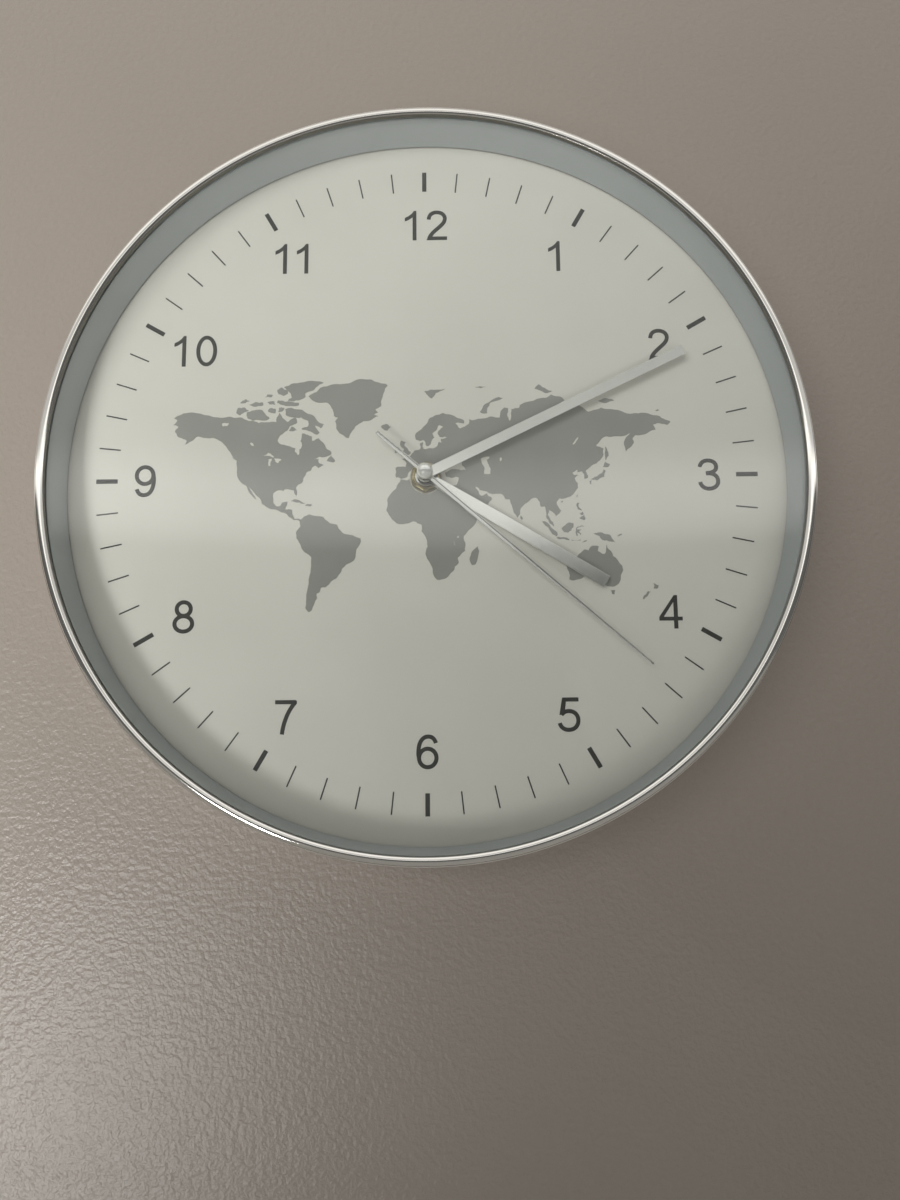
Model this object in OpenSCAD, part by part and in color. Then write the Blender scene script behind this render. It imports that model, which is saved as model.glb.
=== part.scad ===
// Round wall clock with a polished rim, flat glass, printed dial and quartz movement.
// Every module is drawn lying on its back: z is the height above the wall, y points to the 12.
// The last module stands the clock up, so that the dial faces -Y and +Z is up.

/* [Case] */
// Outer diameter of the clock, over the rolled edge of the rim
clock_d = 300; // [280:1:400]
// Width of the rim as seen from the front
rim_w = 3.8; // [3.8:0.1:5]
// Depth from the face of the glass back to the dial
dial_depth = 18.9; // [17.5:0.1:30]
// Radius of the rim's rounded bead, which is also the height of its crest above the glass
bead_r = 2.3; // [2:0.1:3.4]
// Thickness of the rim's side wall
rim_t = 1.5; // [1.3:0.1:1.8]
// Thickness of the pan's outer wall
pan_t = 2; // [1.6:0.1:2.2]
// Thickness of the pan's web, which carries dial and movement
web_t = 2; // [1.5:0.1:4]
// Thickness of the glass
glass_t = 2; // [1.5:0.1:3]

/* [Dial] */
// Thickness of the dial disc
dial_t = 1; // [0.5:0.1:2]
// Gap from the edge of the dial to the outer end of the marks
mark_gap = 11.25; // [6:0.25:20]
// Length of the marks
mark_len = 8.7; // [5:0.1:12]
// Width of the twelve hour marks
hour_mark_w = 1.8; // [1:0.1:3]
// Width of the minute marks
minute_mark_w = 0.55; // [0.4:0.05:1]
// Height of the numerals
numeral_h = 13.3; // [9:0.1:16]
// Stroke width of the numerals
numeral_w = 1.62; // [1:0.02:2]
// Gap from the ring of the numerals' centres in to the edges of the map
map_gap = 9; // [7:0.5:40]

/* [Hands] */
// Length of the hour hand from the centre to its tip
hour_len = 83.6; // [50:0.1:100]
// Width of the hour hand
hour_w = 5.2; // [3:0.1:7]
// Length of the minute hand from the centre to its tip
minute_len = 116.5; // [80:0.5:124]
// Width of the minute hand
minute_w = 4.2; // [3:0.1:6]
// Length of the second hand from the centre to its tip
second_len = 116; // [80:0.5:124]
// Length of the second hand's tail
second_tail = 25.6; // [15:0.1:40]
// Width of the second hand at the centre
second_w = 1.9; // [1.2:0.1:2.8]
// Thickness of the hands' sheet metal
hand_t = 0.4; // [0.3:0.05:0.5]
// Diameter of the ball cap
ball_d = 6.5; // [5:0.1:8]
// Angle of the hour hand at rest, clockwise from 12
hour_angle = 121.6; // [0:0.1:360]
// Angle of the minute hand at rest, clockwise from 12
minute_angle = 64.1; // [0:0.1:360]
// Angle of the second hand at rest, clockwise from 12
second_angle = 131.3; // [0:0.1:360]

/* [Movement] */
// Width of the movement
movement_w = 56; // [56:0.5:60]
// Depth of the movement
movement_depth = 15; // [15:0.1:18]
// Diameter of the battery
battery_d = 14.1; // [10:0.1:14.1]
// Distance across the flats of the clamping nut
nut_flats = 11; // [9.5:0.5:14]
// Diameter of the threaded bush
bush_d = 7.8; // [7.6:0.1:8]

/* [Wall fixing] */
// Diameter of the keyhole's round hole
keyhole_d = 9; // [7:0.5:11]
// Width of the keyhole's slot
keyhole_slot_w = 4.6; // [3.5:0.1:5]
// Distance from the top of the clock down to the keyhole
hanger_drop = 43; // [40:1:60]

/* [Hidden] */
smooth = 96;
fine = 48;
overrun = 1;
press_gap = 0.02;
running_gap = 0.06;
seat_gap = 0.3;

// Heights above the wall, worked out from the back to the front
wall_gap = 1;
rubber_t = 1;
movement_front = wall_gap + movement_depth;
web_back = movement_front + rubber_t;
web_front = web_back + web_t;
dial_h = web_front + dial_t;
glass_front = dial_h + dial_depth;
glass_back = glass_front - glass_t;
gasket_t = 0.5;
ring_top = glass_back - gasket_t;

// Radii, worked out from the outside to the inside
clock_r = clock_d / 2;
bead_out = 1;
side_r = clock_r - bead_out;
bore_r = side_r - rim_t;
lip_r = clock_r - rim_w;
pan_r = bore_r - seat_gap;
pan_inner_r = pan_r - pan_t;
ring_taper = 1.3;
dial_edge_r = lip_r - ring_taper;
shadow_groove = 0.9;
dial_r = pan_r - seat_gap;

// Rim: the least thickness of its lip over the glass and the height of its back edge
lip_t = 1.2;
flange_h = 3;

// Screw bosses of the rim and the pockets that hold them in the pan
case_screw_count = 6;
case_screw_turn = 30;
boss_r = 3.6;
boss_gap = 0.4;
boss_inset = 6.2;
boss_at_r = pan_r - boss_inset;
boss_rib_w = 3;
pocket_floor = 5;
pocket_wall = 1.6;
screw_head_r = 2.9;
screw_head_h = 1.9;
screw_sink = 2.4;
screw_shank_r = 1.45;
screw_len = 10;
screw_slot_w = 0.9;

// Stiffening ribs on the back of the pan
rib_count = 12;
rib_turn = 15;
rib_w = 1.6;
rib_h = 4;
rib_inner_r = 47;
rib_end_gap = 12;
hoop_r = 89;

// Keyhole plate
hanger_w = 46;
hanger_h = 30;
hanger_t = 1.2;
hanger_back = 2;
hanger_y = clock_r - hanger_drop;
keyhole_rise = 10;
hanger_low = 10;
hanger_screw_x = 17;
hanger_screw_y = hanger_y + keyhole_rise / 2;
hanger_boss_r = 4.2;
hanger_head_r = 2.6;
hanger_head_h = 1.4;
hanger_shank_r = 1.2;
hanger_shank_len = 8;

// Dial print
ink_t = 0.1;
mark_outer_r = dial_edge_r - mark_gap;
mark_inner_r = mark_outer_r - mark_len;
numeral_gap = 14.95;
numeral_ring_r = mark_inner_r - numeral_gap;
numeral_place_shares = [0.997, 1.01, 1.037, 1.011, 1.002, 0.993, 1.002, 1.011, 1.034, 1.003,
    1.001, 0.996];
figure_cell_share = 0.776;
figure_pair_share = 0.676;
figure_one_share = 0.05;
map_w = 2 * (numeral_ring_r - map_gap);
map_shift_shares = [-0.0347, -0.1064];
map_hub_gap = 0.2;

// Clamping parts around the threaded bush
bush_r = bush_d / 2;
bush_bore_r = 2.56;
bush_hole_gap = 0.35;
nut_t = 2;
nut_turn = 27.3;
washer_t = 0.4;
washer_r = nut_flats / 2 / cos(30);
rubber_r = 9;
nut_base = dial_h + washer_t;
nut_top = nut_base + nut_t;

// Hands: heights above the dial and hub sizes
hour_lift = 2.7;
minute_lift = 5.3;
second_lift = 7.3;
hour_hub_r = 4.2;
minute_hub_r = 3.3;
second_hub_r = 1.6;
hour_neck_share = 0.8;
hour_flare = 34;
second_tail_share = 0.8;
second_tip_share = 0.42;
collar_t = 0.8;
hour_collar_r = 3.3;
minute_collar_r = 2.4;
second_collar_r = 1.1;
ball_lift = 10.1;
ball_r = ball_d / 2;
arbor_in_ball = 2;

// Movement case
shell_t = 1;
cell_gap = 0.2;
cover_t = 1.2;
cover_gap = 0.2;
post_r = 1.5;
post_inset_share = 0.0625;
post_inset = movement_w * post_inset_share;
frame_gap = 0.5;
frame_t = 1.5;
frame_h = 3.5;

// Toothing, the same for every pair of wheels
pressure_angle = 25;
addendum_share = 0.7;
dedendum_share = 0.95;
tooth_share = 0.46;
flank_steps = 2;

// Numbers of teeth
rotor_teeth = 10;
fifth_teeth = 50;
fifth_pinion_teeth = 10;
seconds_teeth = 60;
seconds_pinion_teeth = 8;
third_teeth = 64;
third_pinion_teeth = 8;
centre_teeth = 60;
cannon_teeth = 12;
minute_teeth = 36;
minute_pinion_teeth = 10;
hour_teeth = 40;
knob_teeth = 12;

// Gear modules (pitch diameter for one tooth), as shares of the movement's width
rotor_module_share = 0.00446;
fifth_module_share = 0.005;
third_module_share = 0.00536;
motion_module_share = 0.00714;
rotor_module = movement_w * rotor_module_share;
fifth_module = movement_w * fifth_module_share;
third_module = movement_w * third_module_share;
motion_module = movement_w * motion_module_share;
fifth_dist = fifth_module * (fifth_pinion_teeth + seconds_teeth) / 2;
rotor_dist = rotor_module * (rotor_teeth + fifth_teeth) / 2;
third_dist = third_module * (seconds_pinion_teeth + third_teeth) / 2;
centre_module = third_dist * 2 / (third_pinion_teeth + centre_teeth);
minute_dist = motion_module * (cannon_teeth + minute_teeth) / 2;
hour_module = minute_dist * 2 / (minute_pinion_teeth + hour_teeth);
knob_dist = motion_module * (minute_teeth + knob_teeth) / 2;

// Directions from one axis to the next, and the axes that follow from them
fifth_turn = 20;
rotor_turn = 80;
third_turn = 150;
minute_turn = 230;
knob_turn = 180;
fifth_at = polar(fifth_dist, fifth_turn);
rotor_at = fifth_at + polar(rotor_dist, rotor_turn);
third_at = polar(third_dist, third_turn);
minute_at = polar(minute_dist, minute_turn);
knob_at = minute_at + polar(knob_dist, knob_turn);

// Tooth phases that put every pair in mesh at rest
fifth_pinion_phase = mesh_phase(fifth_turn, 0, seconds_teeth, fifth_pinion_teeth);
rotor_phase = mesh_phase(rotor_turn, 0, fifth_teeth, rotor_teeth);
third_phase = mesh_phase(third_turn, 0, seconds_pinion_teeth, third_teeth);
centre_phase = mesh_phase(third_turn + 180, 0, third_pinion_teeth, centre_teeth);
minute_phase = mesh_phase(minute_turn, 0, cannon_teeth, minute_teeth);
hour_phase = mesh_phase(minute_turn + 180, 0, minute_pinion_teeth, hour_teeth);
knob_phase = mesh_phase(knob_turn, minute_phase, minute_teeth, knob_teeth);

// Levels inside the movement, measured from its back
pivot_lift = 1.7;
wheel_t = 0.8;
fifth_wheel_lift = 2.8;
rotor_pinion_lift = 2.5;
fifth_pinion_lift = 3.9;
magnet_lift = 4.6;
magnet_t = 2.1;
seconds_wheel_lift = 4.6;
stator_lift = 5.2;
stator_t = 1;
seconds_pinion_lift = 5.9;
third_wheel_lift = 6.6;
bridge_lift = 7.1;
bridge_t = 1;
seconds_pinion_t = 1.7;
third_pinion_lift = 7.8;
third_pinion_t = 2;
cannon_foot_lift = 7.9;
cannon_foot_t = 0.4;
centre_wheel_lift = 8.4;
clutch_lift = 9.3;
clutch_t = 0.4;
cannon_pinion_lift = 9.8;
cannon_pinion_t = 2;
minute_post_lift = 9.9;
minute_wheel_lift = 10.2;
minute_pinion_lift = 11.2;
board_lift = 11;
board_t = 0.8;
hour_wheel_lift = 12.4;
hour_wheel_t = 1.2;

// Arbors and bearings
second_arbor_r = 0.45;
fast_arbor_r = 0.4;
third_arbor_r = 0.5;
minute_arbor_r = 1.5;
hour_arbor_r = 2.5;
minute_post_r = 0.9;
bearing_wall = 0.7;
cannon_foot_r = 2.4;
clutch_r = 2.9;

// Setting knob
knob_r = 5.5;
knob_t = 2.9;
knob_lift = 0.4;
knob_well_gap = 0.5;
knob_well_wall = 1;
knob_well_depth = 4.6;
knob_stem_r = 1.2;
knob_pivot_r = 0.8;
knob_notch_count = 24;
knob_notch_r = 0.35;

// Stepping motor, with its places on the plate as shares of the movement's width
magnet_r = 2.3;
magnet_hub_r = 0.9;
stator_bore_r = 2.75;
stator_web = 0.39;
bridge_post_r = 1.5;
bridge_peg_r = 0.9;
bridge_post_shares = [[0.3125, -0.009], [0.318, 0.223], [0.0535, 0.223]];
bridge_posts = movement_w * bridge_post_shares;
bridge_shares = [0.018, 0.125, 0.357];
bridge_rise_shares = [-0.0535, 0.179, 0.268];
bridge_left = movement_w * bridge_shares[0];
bridge_step = movement_w * bridge_shares[1];
bridge_right = movement_w * bridge_shares[2];
bridge_low = movement_w * bridge_rise_shares[0];
bridge_mid = movement_w * bridge_rise_shares[1];
bridge_high = movement_w * bridge_rise_shares[2];
stator_shares = [-0.143, 0.083, 0.223];
stator_bar_shares = [0.186, 0.2535];
core_shares = [0.311, 0.361];
stator_left = movement_w * stator_shares[0];
stator_step = movement_w * stator_shares[1];
stator_right_leg = movement_w * stator_shares[2];
stator_leg_w = 2.4;
stator_low = rotor_at.y - stator_bore_r - stator_web;
stator_bar_low = movement_w * stator_bar_shares[0];
stator_bar_high = movement_w * stator_bar_shares[1];
core_low = movement_w * core_shares[0];
core_high = movement_w * core_shares[1];
bobbin_gap = 0.2;
bobbin_flange_t = 0.8;
bobbin_r = 1.95;
coil_r = 2.7;
bobbin_flange_r = 2.85;

// Walls of the movement, worked out from what stands inside them
train_gap = 1;
cell_side_gap = 0.5;
coil_top_gap = 1.8;
minute_tip_r = motion_module * (minute_teeth / 2 + addendum_share);
bay_wall_y = minute_at.y - minute_tip_r - train_gap - shell_t;
movement_bottom = -bay_wall_y + battery_d + 2 * cell_side_gap + shell_t;
movement_top = core_high + coil_top_gap + shell_t;

// Circuit board
board_side_gap = 0.6;
board_w = 6;
board_left = -movement_w / 2 + shell_t + board_side_gap;
board_low = bay_wall_y + post_inset + post_r + board_side_gap;
board_high = movement_top - post_inset - post_r - board_side_gap;
crystal_r = 1;
crystal_len = 6;
crystal_y = 4;
chip_y = 11;
chip_r = 2.4;
chip_h = 1;
board_post_r = 1.2;

// Battery terminals
terminal_t = 0.4;
terminal_w = 9;
terminal_low = 2.5;
terminal_high = 11.5;
cell_button_r = 2.75;
cell_button_h = 1;
cell_edge = 0.6;
spring_depth = 3.06;
battery_len = movement_w - 2 * shell_t - terminal_t - spring_depth - 2 * press_gap;

// Coasts as [degrees east, degrees north]; the chart turns them into shares of the map's width
coast_shares = [
    // North America
    [[-171.4, 67.3], [-168.5, 69.3], [-171, 70.2], [-168, 71.3], [-164.5, 72.2], [-160, 72.4],
     [-153.5, 72.2], [-144, 70.9], [-136, 70.1], [-129, 70.5], [-121, 70.1], [-115, 68.7],
     [-109, 67.7], [-103.5, 68.1],
     [-96, 68], [-96, 70], [-94, 72], [-92, 70], [-90, 69], [-88, 68], [-86, 69], [-82, 69.7],
     [-81, 67.5], [-86, 66.3], [-88, 64], [-93, 62], [-95, 59], [-92, 57], [-88, 56.5],
     [-82, 55.2], [-82, 53], [-80, 51.2], [-79, 52], [-79, 54.5], [-77, 56.5], [-78.5, 58.8],
     [-77.5, 62.5], [-73, 62], [-70, 61], [-69.5, 58.8], [-65, 60.2], [-62, 58], [-60, 55.5],
     [-56, 53], [-56, 51.5], [-60, 50], [-65, 50.2], [-69, 48.5], [-65, 49], [-65, 47], [-61, 45.5],
     [-65, 43.5], [-67, 45], [-70, 43.5], [-70.5, 42], [-74, 40.7], [-74.5, 39], [-76, 37.5],
     [-76, 35], [-79, 33.5], [-81, 31.5], [-80.2, 27], [-80.5, 25.2], [-82, 27], [-83, 29.5],
     [-85, 29.8], [-89, 30.3], [-90, 29], [-94, 29.5], [-97, 28], [-97.7, 25], [-97.5, 21],
     [-95.5, 18.5], [-92, 18.7], [-90.5, 21], [-87, 21.3], [-88, 18], [-88.5, 16], [-84, 15.8],
     [-83.5, 12.5], [-82, 9.2], [-79, 9.4], [-77, 8.2], [-78, 7.2], [-80, 8.4], [-82.5, 8],
     [-85.5, 10.3], [-87.5, 12.7], [-92, 14.3], [-95, 16], [-98, 16.2], [-102, 17.8], [-105.5, 20],
     [-106, 22.5], [-109, 25.5], [-112, 29], [-114.7, 31.6], [-113, 29], [-110.5, 25.5],
     [-109.6, 23], [-112, 25], [-114.5, 27.5], [-116, 30.5], [-117.5, 33.2], [-121, 35],
     [-123.5, 38.5], [-124.3, 41], [-124.3, 46], [-124.4, 49], [-128.5, 52.3], [-130, 54],
     [-133.3, 57.2], [-137.4, 59.5], [-142.2, 61.1], [-148.8, 60.9], [-153.6, 61.7],
     [-157.7, 59.5], [-163.3, 57.5], [-160.9, 59.6], [-164.6, 60.9], [-168.2, 62.1], [-170, 64],
     [-167.4, 66.5]],
    // South America
    [[-77.5, 8.3], [-75, 11], [-72, 12.2], [-68, 11.3], [-62, 10.7], [-60, 8.5], [-57, 6], [-52, 5],
     [-50, 1.5], [-48, -1], [-44, -2.7], [-40, -3], [-34.3, -5.5], [-34, -7.5], [-35, -10.5],
     [-37.5, -14], [-37.8, -18.5], [-40, -22], [-44, -23.6], [-47.5, -26.5], [-48, -29],
     [-51.2, -33], [-55.6, -35.2], [-58.8, -38.8], [-62.5, -39.2], [-62.9, -41.3], [-65.3, -42.5],
     [-64.8, -45], [-67.4, -49], [-68.5, -52], [-71, -52.8], [-73.2, -50.8], [-72.6, -46],
     [-72.1, -41], [-71.3, -34], [-69.9, -27], [-69.3, -18.7], [-73, -15.8], [-76, -13.2],
     [-78.5, -8], [-80.2, -5.5], [-80, -3], [-80.8, -1], [-79.5, 1], [-77.5, 3.5], [-78, 7]],
    // Greenland
    [[-73, 78], [-67, 79.5], [-64, 81], [-55, 82], [-45, 82.2], [-38, 83.3], [-28, 83.4],
     [-22, 82.5], [-15, 81.5], [-17, 80.5], [-18, 79], [-20, 76], [-20, 74], [-24, 73], [-22, 71.5],
     [-25, 70.7], [-22, 70], [-27, 68.5], [-33, 68], [-38, 66], [-41, 63.5], [-43, 60.2],
     [-46, 60.7], [-50, 62.5], [-52.5, 65.5], [-53.5, 68], [-51, 69.5], [-54.5, 70.5], [-55, 73],
     [-59, 75.7], [-68, 76], [-71, 77]],
    // Arctic islands: Ellesmere, Axel Heiberg, Devon, Baffin, Victoria, Banks and their neighbours
    [[-88, 76.6], [-85, 77.8], [-87, 79.5], [-91, 81.3], [-84, 82.5], [-74, 83.1], [-62, 82.6],
     [-66, 81.5], [-70, 80], [-75.5, 79], [-75, 78], [-79.5, 76.8], [-84, 76.3]],
    [[-95, 79], [-96, 80.3], [-93, 81.2], [-88.5, 80.3], [-88, 79], [-91, 78.4]],
    [[-96, 75.8], [-95, 76.8], [-90, 76.2], [-80, 75.8], [-80, 74.8], [-88, 74.6], [-92, 75]],
    [[-89.5, 71], [-90, 73.3], [-85, 73.9], [-77, 73], [-72, 71.3], [-68, 70], [-66, 68.2],
     [-61.5, 66.8], [-64, 65], [-68, 66.3], [-64.5, 63], [-66, 62], [-71, 63.5], [-78, 64.7],
     [-73, 66], [-73, 68.3], [-78, 70], [-84, 70]],
    [[-117.5, 70.5], [-118, 72.2], [-114, 73], [-107, 73.2], [-105, 72], [-101, 69.7], [-104, 68.8],
     [-113, 68.8], [-117, 69.7]],
    [[-125.5, 72], [-124, 74.2], [-119.5, 74.2], [-116.5, 73], [-121, 71.8], [-123, 71.1]],
    [[-102.5, 72.7], [-100.5, 73.9], [-97, 73.6], [-97, 71.7], [-100, 71.9]],
    [[-95, 72.4], [-94.5, 74], [-90.5, 73.9], [-92, 72.5]],
    [[-117, 75.3], [-112, 76.2], [-106, 76], [-106, 75], [-113, 74.5]],
    [[-103, 76], [-98, 76.5], [-97, 75.1], [-101.5, 75.3]],
    [[-123, 76], [-119, 77.4], [-116, 76.6], [-119, 75.9]],
    [[-105, 77.9], [-103, 79], [-99, 78.7], [-100, 77.9]],
    [[-87, 64.2], [-85, 65.9], [-81, 64.2], [-83.5, 63.8]],
    // Newfoundland, Vancouver Island, Cuba, Hispaniola, Iceland
    [[-59.2, 47.8], [-56, 51.3], [-53, 47.6], [-55.5, 46.9]],
    [[-128, 50.7], [-125.3, 50.1], [-123.8, 48.5], [-126, 49.3]],
    [[-84.8, 22], [-82, 23.2], [-77.5, 21.8], [-74.3, 20.3], [-77.5, 19.9], [-78.5, 21]],
    [[-74.3, 18.4], [-73, 19.8], [-70, 19.7], [-68.5, 18.5], [-71, 18]],
    [[-20, 65.3], [-18.5, 66.2], [-15, 66.4], [-12.6, 65.2], [-15.5, 63.5], [-18, 64]],
    // Britain and Ireland
    [[-5.2, 50.1], [-3, 51.4], [-5, 52], [-3.2, 53.5], [-5, 55], [-6.2, 57], [-5, 58.6],
     [-2, 57.6], [-3, 56], [-1.3, 54.8], [0.2, 53], [1.7, 52.5], [1, 51], [-2, 50.7]],
    [[-10.2, 51.8], [-6.5, 52.2], [-6, 54.3], [-8, 55.3], [-10, 54]],
    // Europe and Asia
    [[-9, 37], [-9.5, 39], [-9.2, 43.3], [-2, 43.5], [-1.5, 46], [-4.6, 48.4], [-1.3, 48.8],
     [2, 51], [5, 53.2], [8.5, 54], [8.2, 56.8], [10.5, 57.6], [10.3, 55], [11, 54], [14, 54.1],
     [19, 54.5], [21, 55.5], [21.8, 57.5], [24, 57.2], [23.5, 59.2], [29.5, 60], [23, 60],
     [21.4, 61.5], [22, 63.3], [25.3, 65], [22, 65.8], [21, 64], [17.3, 61.7], [18.8, 59.8],
     [16.5, 58], [16, 56.3], [14, 55.5], [12.8, 55.7], [11.2, 58.5], [8, 58.1], [5.3, 59],
     [5, 61.5], [9.5, 63.8], [12.5, 66], [14.5, 68.2], [19, 70], [25.5, 71.1], [31, 70.3],
     [40.5, 67.8], [40.5, 66.4], [34, 66.6], [37, 64.2], [40, 64.8], [44, 66.2], [44, 68.2],
     [47, 67.8], [54, 68.6], [60, 69.4], [66.5, 68.8], [67, 71.3], [70, 73], [72.8, 72.6],
     [71.8, 70], [73.5, 67.3], [74.8, 69], [75, 72.3], [80.5, 72.8], [81, 73.8], [87, 75],
     [93, 76], [100, 76.4], [104, 77.7], [112, 76.6], [113.5, 75.2], [109, 73.8], [118, 73.2],
     [124, 73.6], [127, 72.5], [130, 71], [134, 71.5], [140, 72.5], [150, 71.5], [160, 69.8],
     [167, 69.8], [171, 70.1], [180, 69], [185, 67.5], [190, 66.1], [187, 64.6], [181, 65.5],
     [177, 64.7], [179, 62.4], [170, 60], [164, 59.8], [162, 57.8], [163, 56], [160, 53.2],
     [157, 51.2], [155.7, 55], [156.5, 57.7], [163, 62], [155, 59.4], [149, 59.4], [142, 59.2],
     [135.5, 54.8], [141, 53], [140.3, 48.5], [135.5, 44.3], [132, 43.2], [129.8, 41.5],
     [127.5, 39.5], [129.3, 37], [129, 35.3], [126.4, 34.6], [126.5, 37.5], [124.7, 39.7],
     [121.5, 39], [121.5, 40.7], [118, 39], [119.3, 37.2], [122.4, 37.2], [119.5, 35],
     [121.8, 31.5], [121.5, 28.5], [118.5, 24.7], [114, 22.4], [110, 21.3], [108, 21.5],
     [106, 18.8], [109.2, 13], [107, 10.4], [105, 8.8], [104.8, 10.5], [102, 12.6], [100.5, 13.4],
     [99.5, 10], [103.3, 4.5], [103.6, 1.5], [100.5, 4], [98.3, 8.3], [97.6, 16.3], [94.5, 16.2],
     [94, 19.5], [91, 22.5], [88, 21.8], [86.5, 20], [82.3, 16.7], [80.2, 15.5], [79.8, 10.5],
     [77.6, 8.1], [75, 12.5], [72.8, 19], [72.5, 21.5], [69.5, 21.5], [67, 25], [61.6, 25.2],
     [57.5, 25.8], [56.3, 27.1], [51.5, 27.9], [49, 30.3], [48, 29.7], [50.5, 26.3], [51.5, 24.4],
     [54, 24.3], [56.3, 26], [57, 24], [59.8, 22.4], [57.5, 19], [52.2, 15.7], [45, 12.8],
     [43.2, 13], [42.5, 16.8], [39, 21.3], [35, 28.2], [34.9, 29.4], [34.2, 28], [32.6, 29.9],
     [32.6, 31.2], [34.5, 31.6], [36, 36.7], [30.5, 36.4], [27.3, 37], [26.3, 39.7], [29.3, 41.1],
     [32, 41.9], [38, 41], [41.5, 41.6], [38.5, 44.3], [39.2, 47.2], [35.5, 45.9], [33.6, 44.6],
     [33, 46.1], [30.7, 46.4], [28.6, 44], [28, 42], [26.2, 40.7], [22.8, 40.4], [24, 37.8],
     [22.8, 36.6], [21.3, 37.5], [19.4, 40.7], [19, 42], [13.7, 45.5], [12.3, 45.2], [13.6, 43.5],
     [18.4, 40], [16.8, 40.3], [16, 38], [10.8, 42.6], [8.8, 44.4], [6, 43.1], [3.2, 43.2],
     [-0.3, 39.5], [-0.7, 37.7], [-2.2, 36.8], [-5.6, 36.1], [-6.8, 37.1]],
    // Africa and Madagascar
    [[-5.8, 35.8], [-2, 35.1], [3, 36.9], [10, 37.3], [10.8, 34.2], [15, 32.3], [19.2, 30.4],
     [21.5, 32.8], [25, 31.6], [32.3, 31.4], [33.2, 30.5], [32.6, 29.7], [35.5, 24], [37.3, 20.7],
     [39.5, 15.5], [43.2, 12], [44.5, 10.5], [51.2, 11.8], [48, 4.5], [42, -1.5], [39.2, -5],
     [40.5, -11], [40.3, -15.5], [35, -20], [35.5, -24], [32.8, -26], [31.5, -29.3], [27.5, -33.2],
     [20, -34.8], [18.3, -33], [17, -29], [14.5, -22.5], [11.8, -17.5], [13.6, -12], [12.3, -6],
     [9, -1], [9.5, 3.7], [8, 4.5], [4.5, 6.3], [-2, 4.9], [-7, 4.5], [-11.5, 7.5], [-14, 11],
     [-16, 14.7], [-15, 19], [-15.5, 21.3], [-13, 26], [-9, 29.5], [-8.7, 31.5], [-6, 34]],
    [[49.3, -12.2], [50.3, -15.5], [47.2, -25], [45, -25.5], [43.4, -22.5], [44.3, -17.2]],
    // Svalbard, Franz Josef Land, Novaya Zemlya, Severnaya Zemlya, New Siberia, Wrangel
    [[11.5, 79.2], [16, 79.9], [27, 80.1], [20, 78.7], [17, 76.7], [14, 78]],
    [[49, 80.4], [52.5, 80.8], [57, 80.5], [53, 80.1]],
    [[52, 71.4], [56, 74.5], [66, 77], [69, 76.6], [60, 75], [57.3, 72.5], [57.5, 70.8],
     [53.5, 70.8]],
    [[92, 79.7], [95, 81.2], [101, 79.5], [105, 78.8], [99.5, 78.2]],
    [[138, 75.2], [142, 76], [150, 75.2], [143, 74.2]],
    [[178.8, 71], [181, 71.5], [182.5, 71.1], [180, 70.8]],
    // Ceylon, Hainan, Taiwan, Sakhalin and Japan
    [[79.8, 8.5], [80.3, 9.7], [81.8, 7.2], [80.4, 6]],
    [[108.8, 19.3], [110.6, 20.1], [110, 18.4]],
    [[120.2, 23.1], [121.7, 25.1], [120.9, 22]],
    [[142, 46.2], [142, 54.2], [143.5, 52], [144.5, 49], [142.8, 47]],
    [[140, 42.3], [141.8, 45.3], [145.3, 43.7], [143.2, 42]],
    [[131, 34.2], [133.3, 35.6], [136.7, 37.3], [139.4, 38.3], [140.3, 41.2], [142, 39.6],
     [140.7, 35.7], [137, 34.6], [135.7, 33.6], [132.5, 34]],
    [[129.8, 33.3], [131.7, 33.6], [131.4, 31.4], [130.2, 31.3]],
    // Philippines
    [[120.2, 16.2], [120.7, 18.5], [122.2, 18.4], [121.7, 15.5], [124, 12.9], [121, 13.8]],
    [[122.2, 11], [124.5, 11.9], [125.2, 10.3], [123, 9.5]],
    [[122, 7.2], [123.5, 8.6], [125.5, 9.7], [126.4, 7.3], [125.3, 5.7], [124, 6.4]],
    // Borneo, Celebes, Sumatra, Java, Lesser Sunda, New Guinea, New Britain
    [[109, 0.5], [111, 1.8], [114.8, 4.5], [117.8, 3.5], [117.6, 1], [116, -1.5], [114, -3],
     [111, -2.8], [109.5, -1]],
    [[119.4, -5.4], [120.5, -5.4], [120.5, -2.9], [122.5, -5], [123, -4.2], [121.5, -1.8],
     [123.3, -0.8], [120.4, -0.9], [120.2, 0.4], [125, 1.1], [124.8, 1.7], [120.5, 1.2],
     [118.9, -2.8]],
    [[95.4, 5.6], [97.5, 5.3], [103.5, -0.8], [106, -3], [105.8, -5.8], [102.3, -4], [98.7, 1.6]],
    [[105.3, -6.7], [106.8, -6], [110.8, -6.4], [114.4, -7.7], [114.3, -8.7], [108, -7.8]],
    [[116, -8.3], [122.5, -8.1], [122.5, -8.8], [116, -9]],
    [[123.6, -10.3], [127, -8.4], [126.8, -9.1], [124.3, -10.2]],
    [[131.5, -3.5], [135, -3.2], [138, -3.3], [141, -4.6], [144, -5.8], [147.5, -10.7],
     [144.5, -10.2], [141, -8.8], [138, -8.7], [136, -6]],
    [[148.5, -5.7], [152, -4.3], [151.8, -5.4], [149.5, -6.3]],
    // Australia, Tasmania and New Zealand
    [[141, -12], [142.1, -15.4], [143.8, -16.4], [144.8, -20.2], [147.5, -21.9], [149.3, -24.5],
     [151.6, -26.9], [152, -29.9], [150, -34.4], [148.5, -38.5], [144.8, -40.2], [142, -40],
     [138.5, -39], [136.8, -36.7], [136.3, -34.2], [134.5, -36.1], [132.5, -33.9],
     [129.5, -32.7], [124.5, -33.5], [122, -35.1], [116.5, -36.2], [113.6, -35.5],
     [114.2, -33.2], [112, -27.2], [112.5, -23.2], [116, -21.8], [120, -20], [120.9, -18.4],
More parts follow.
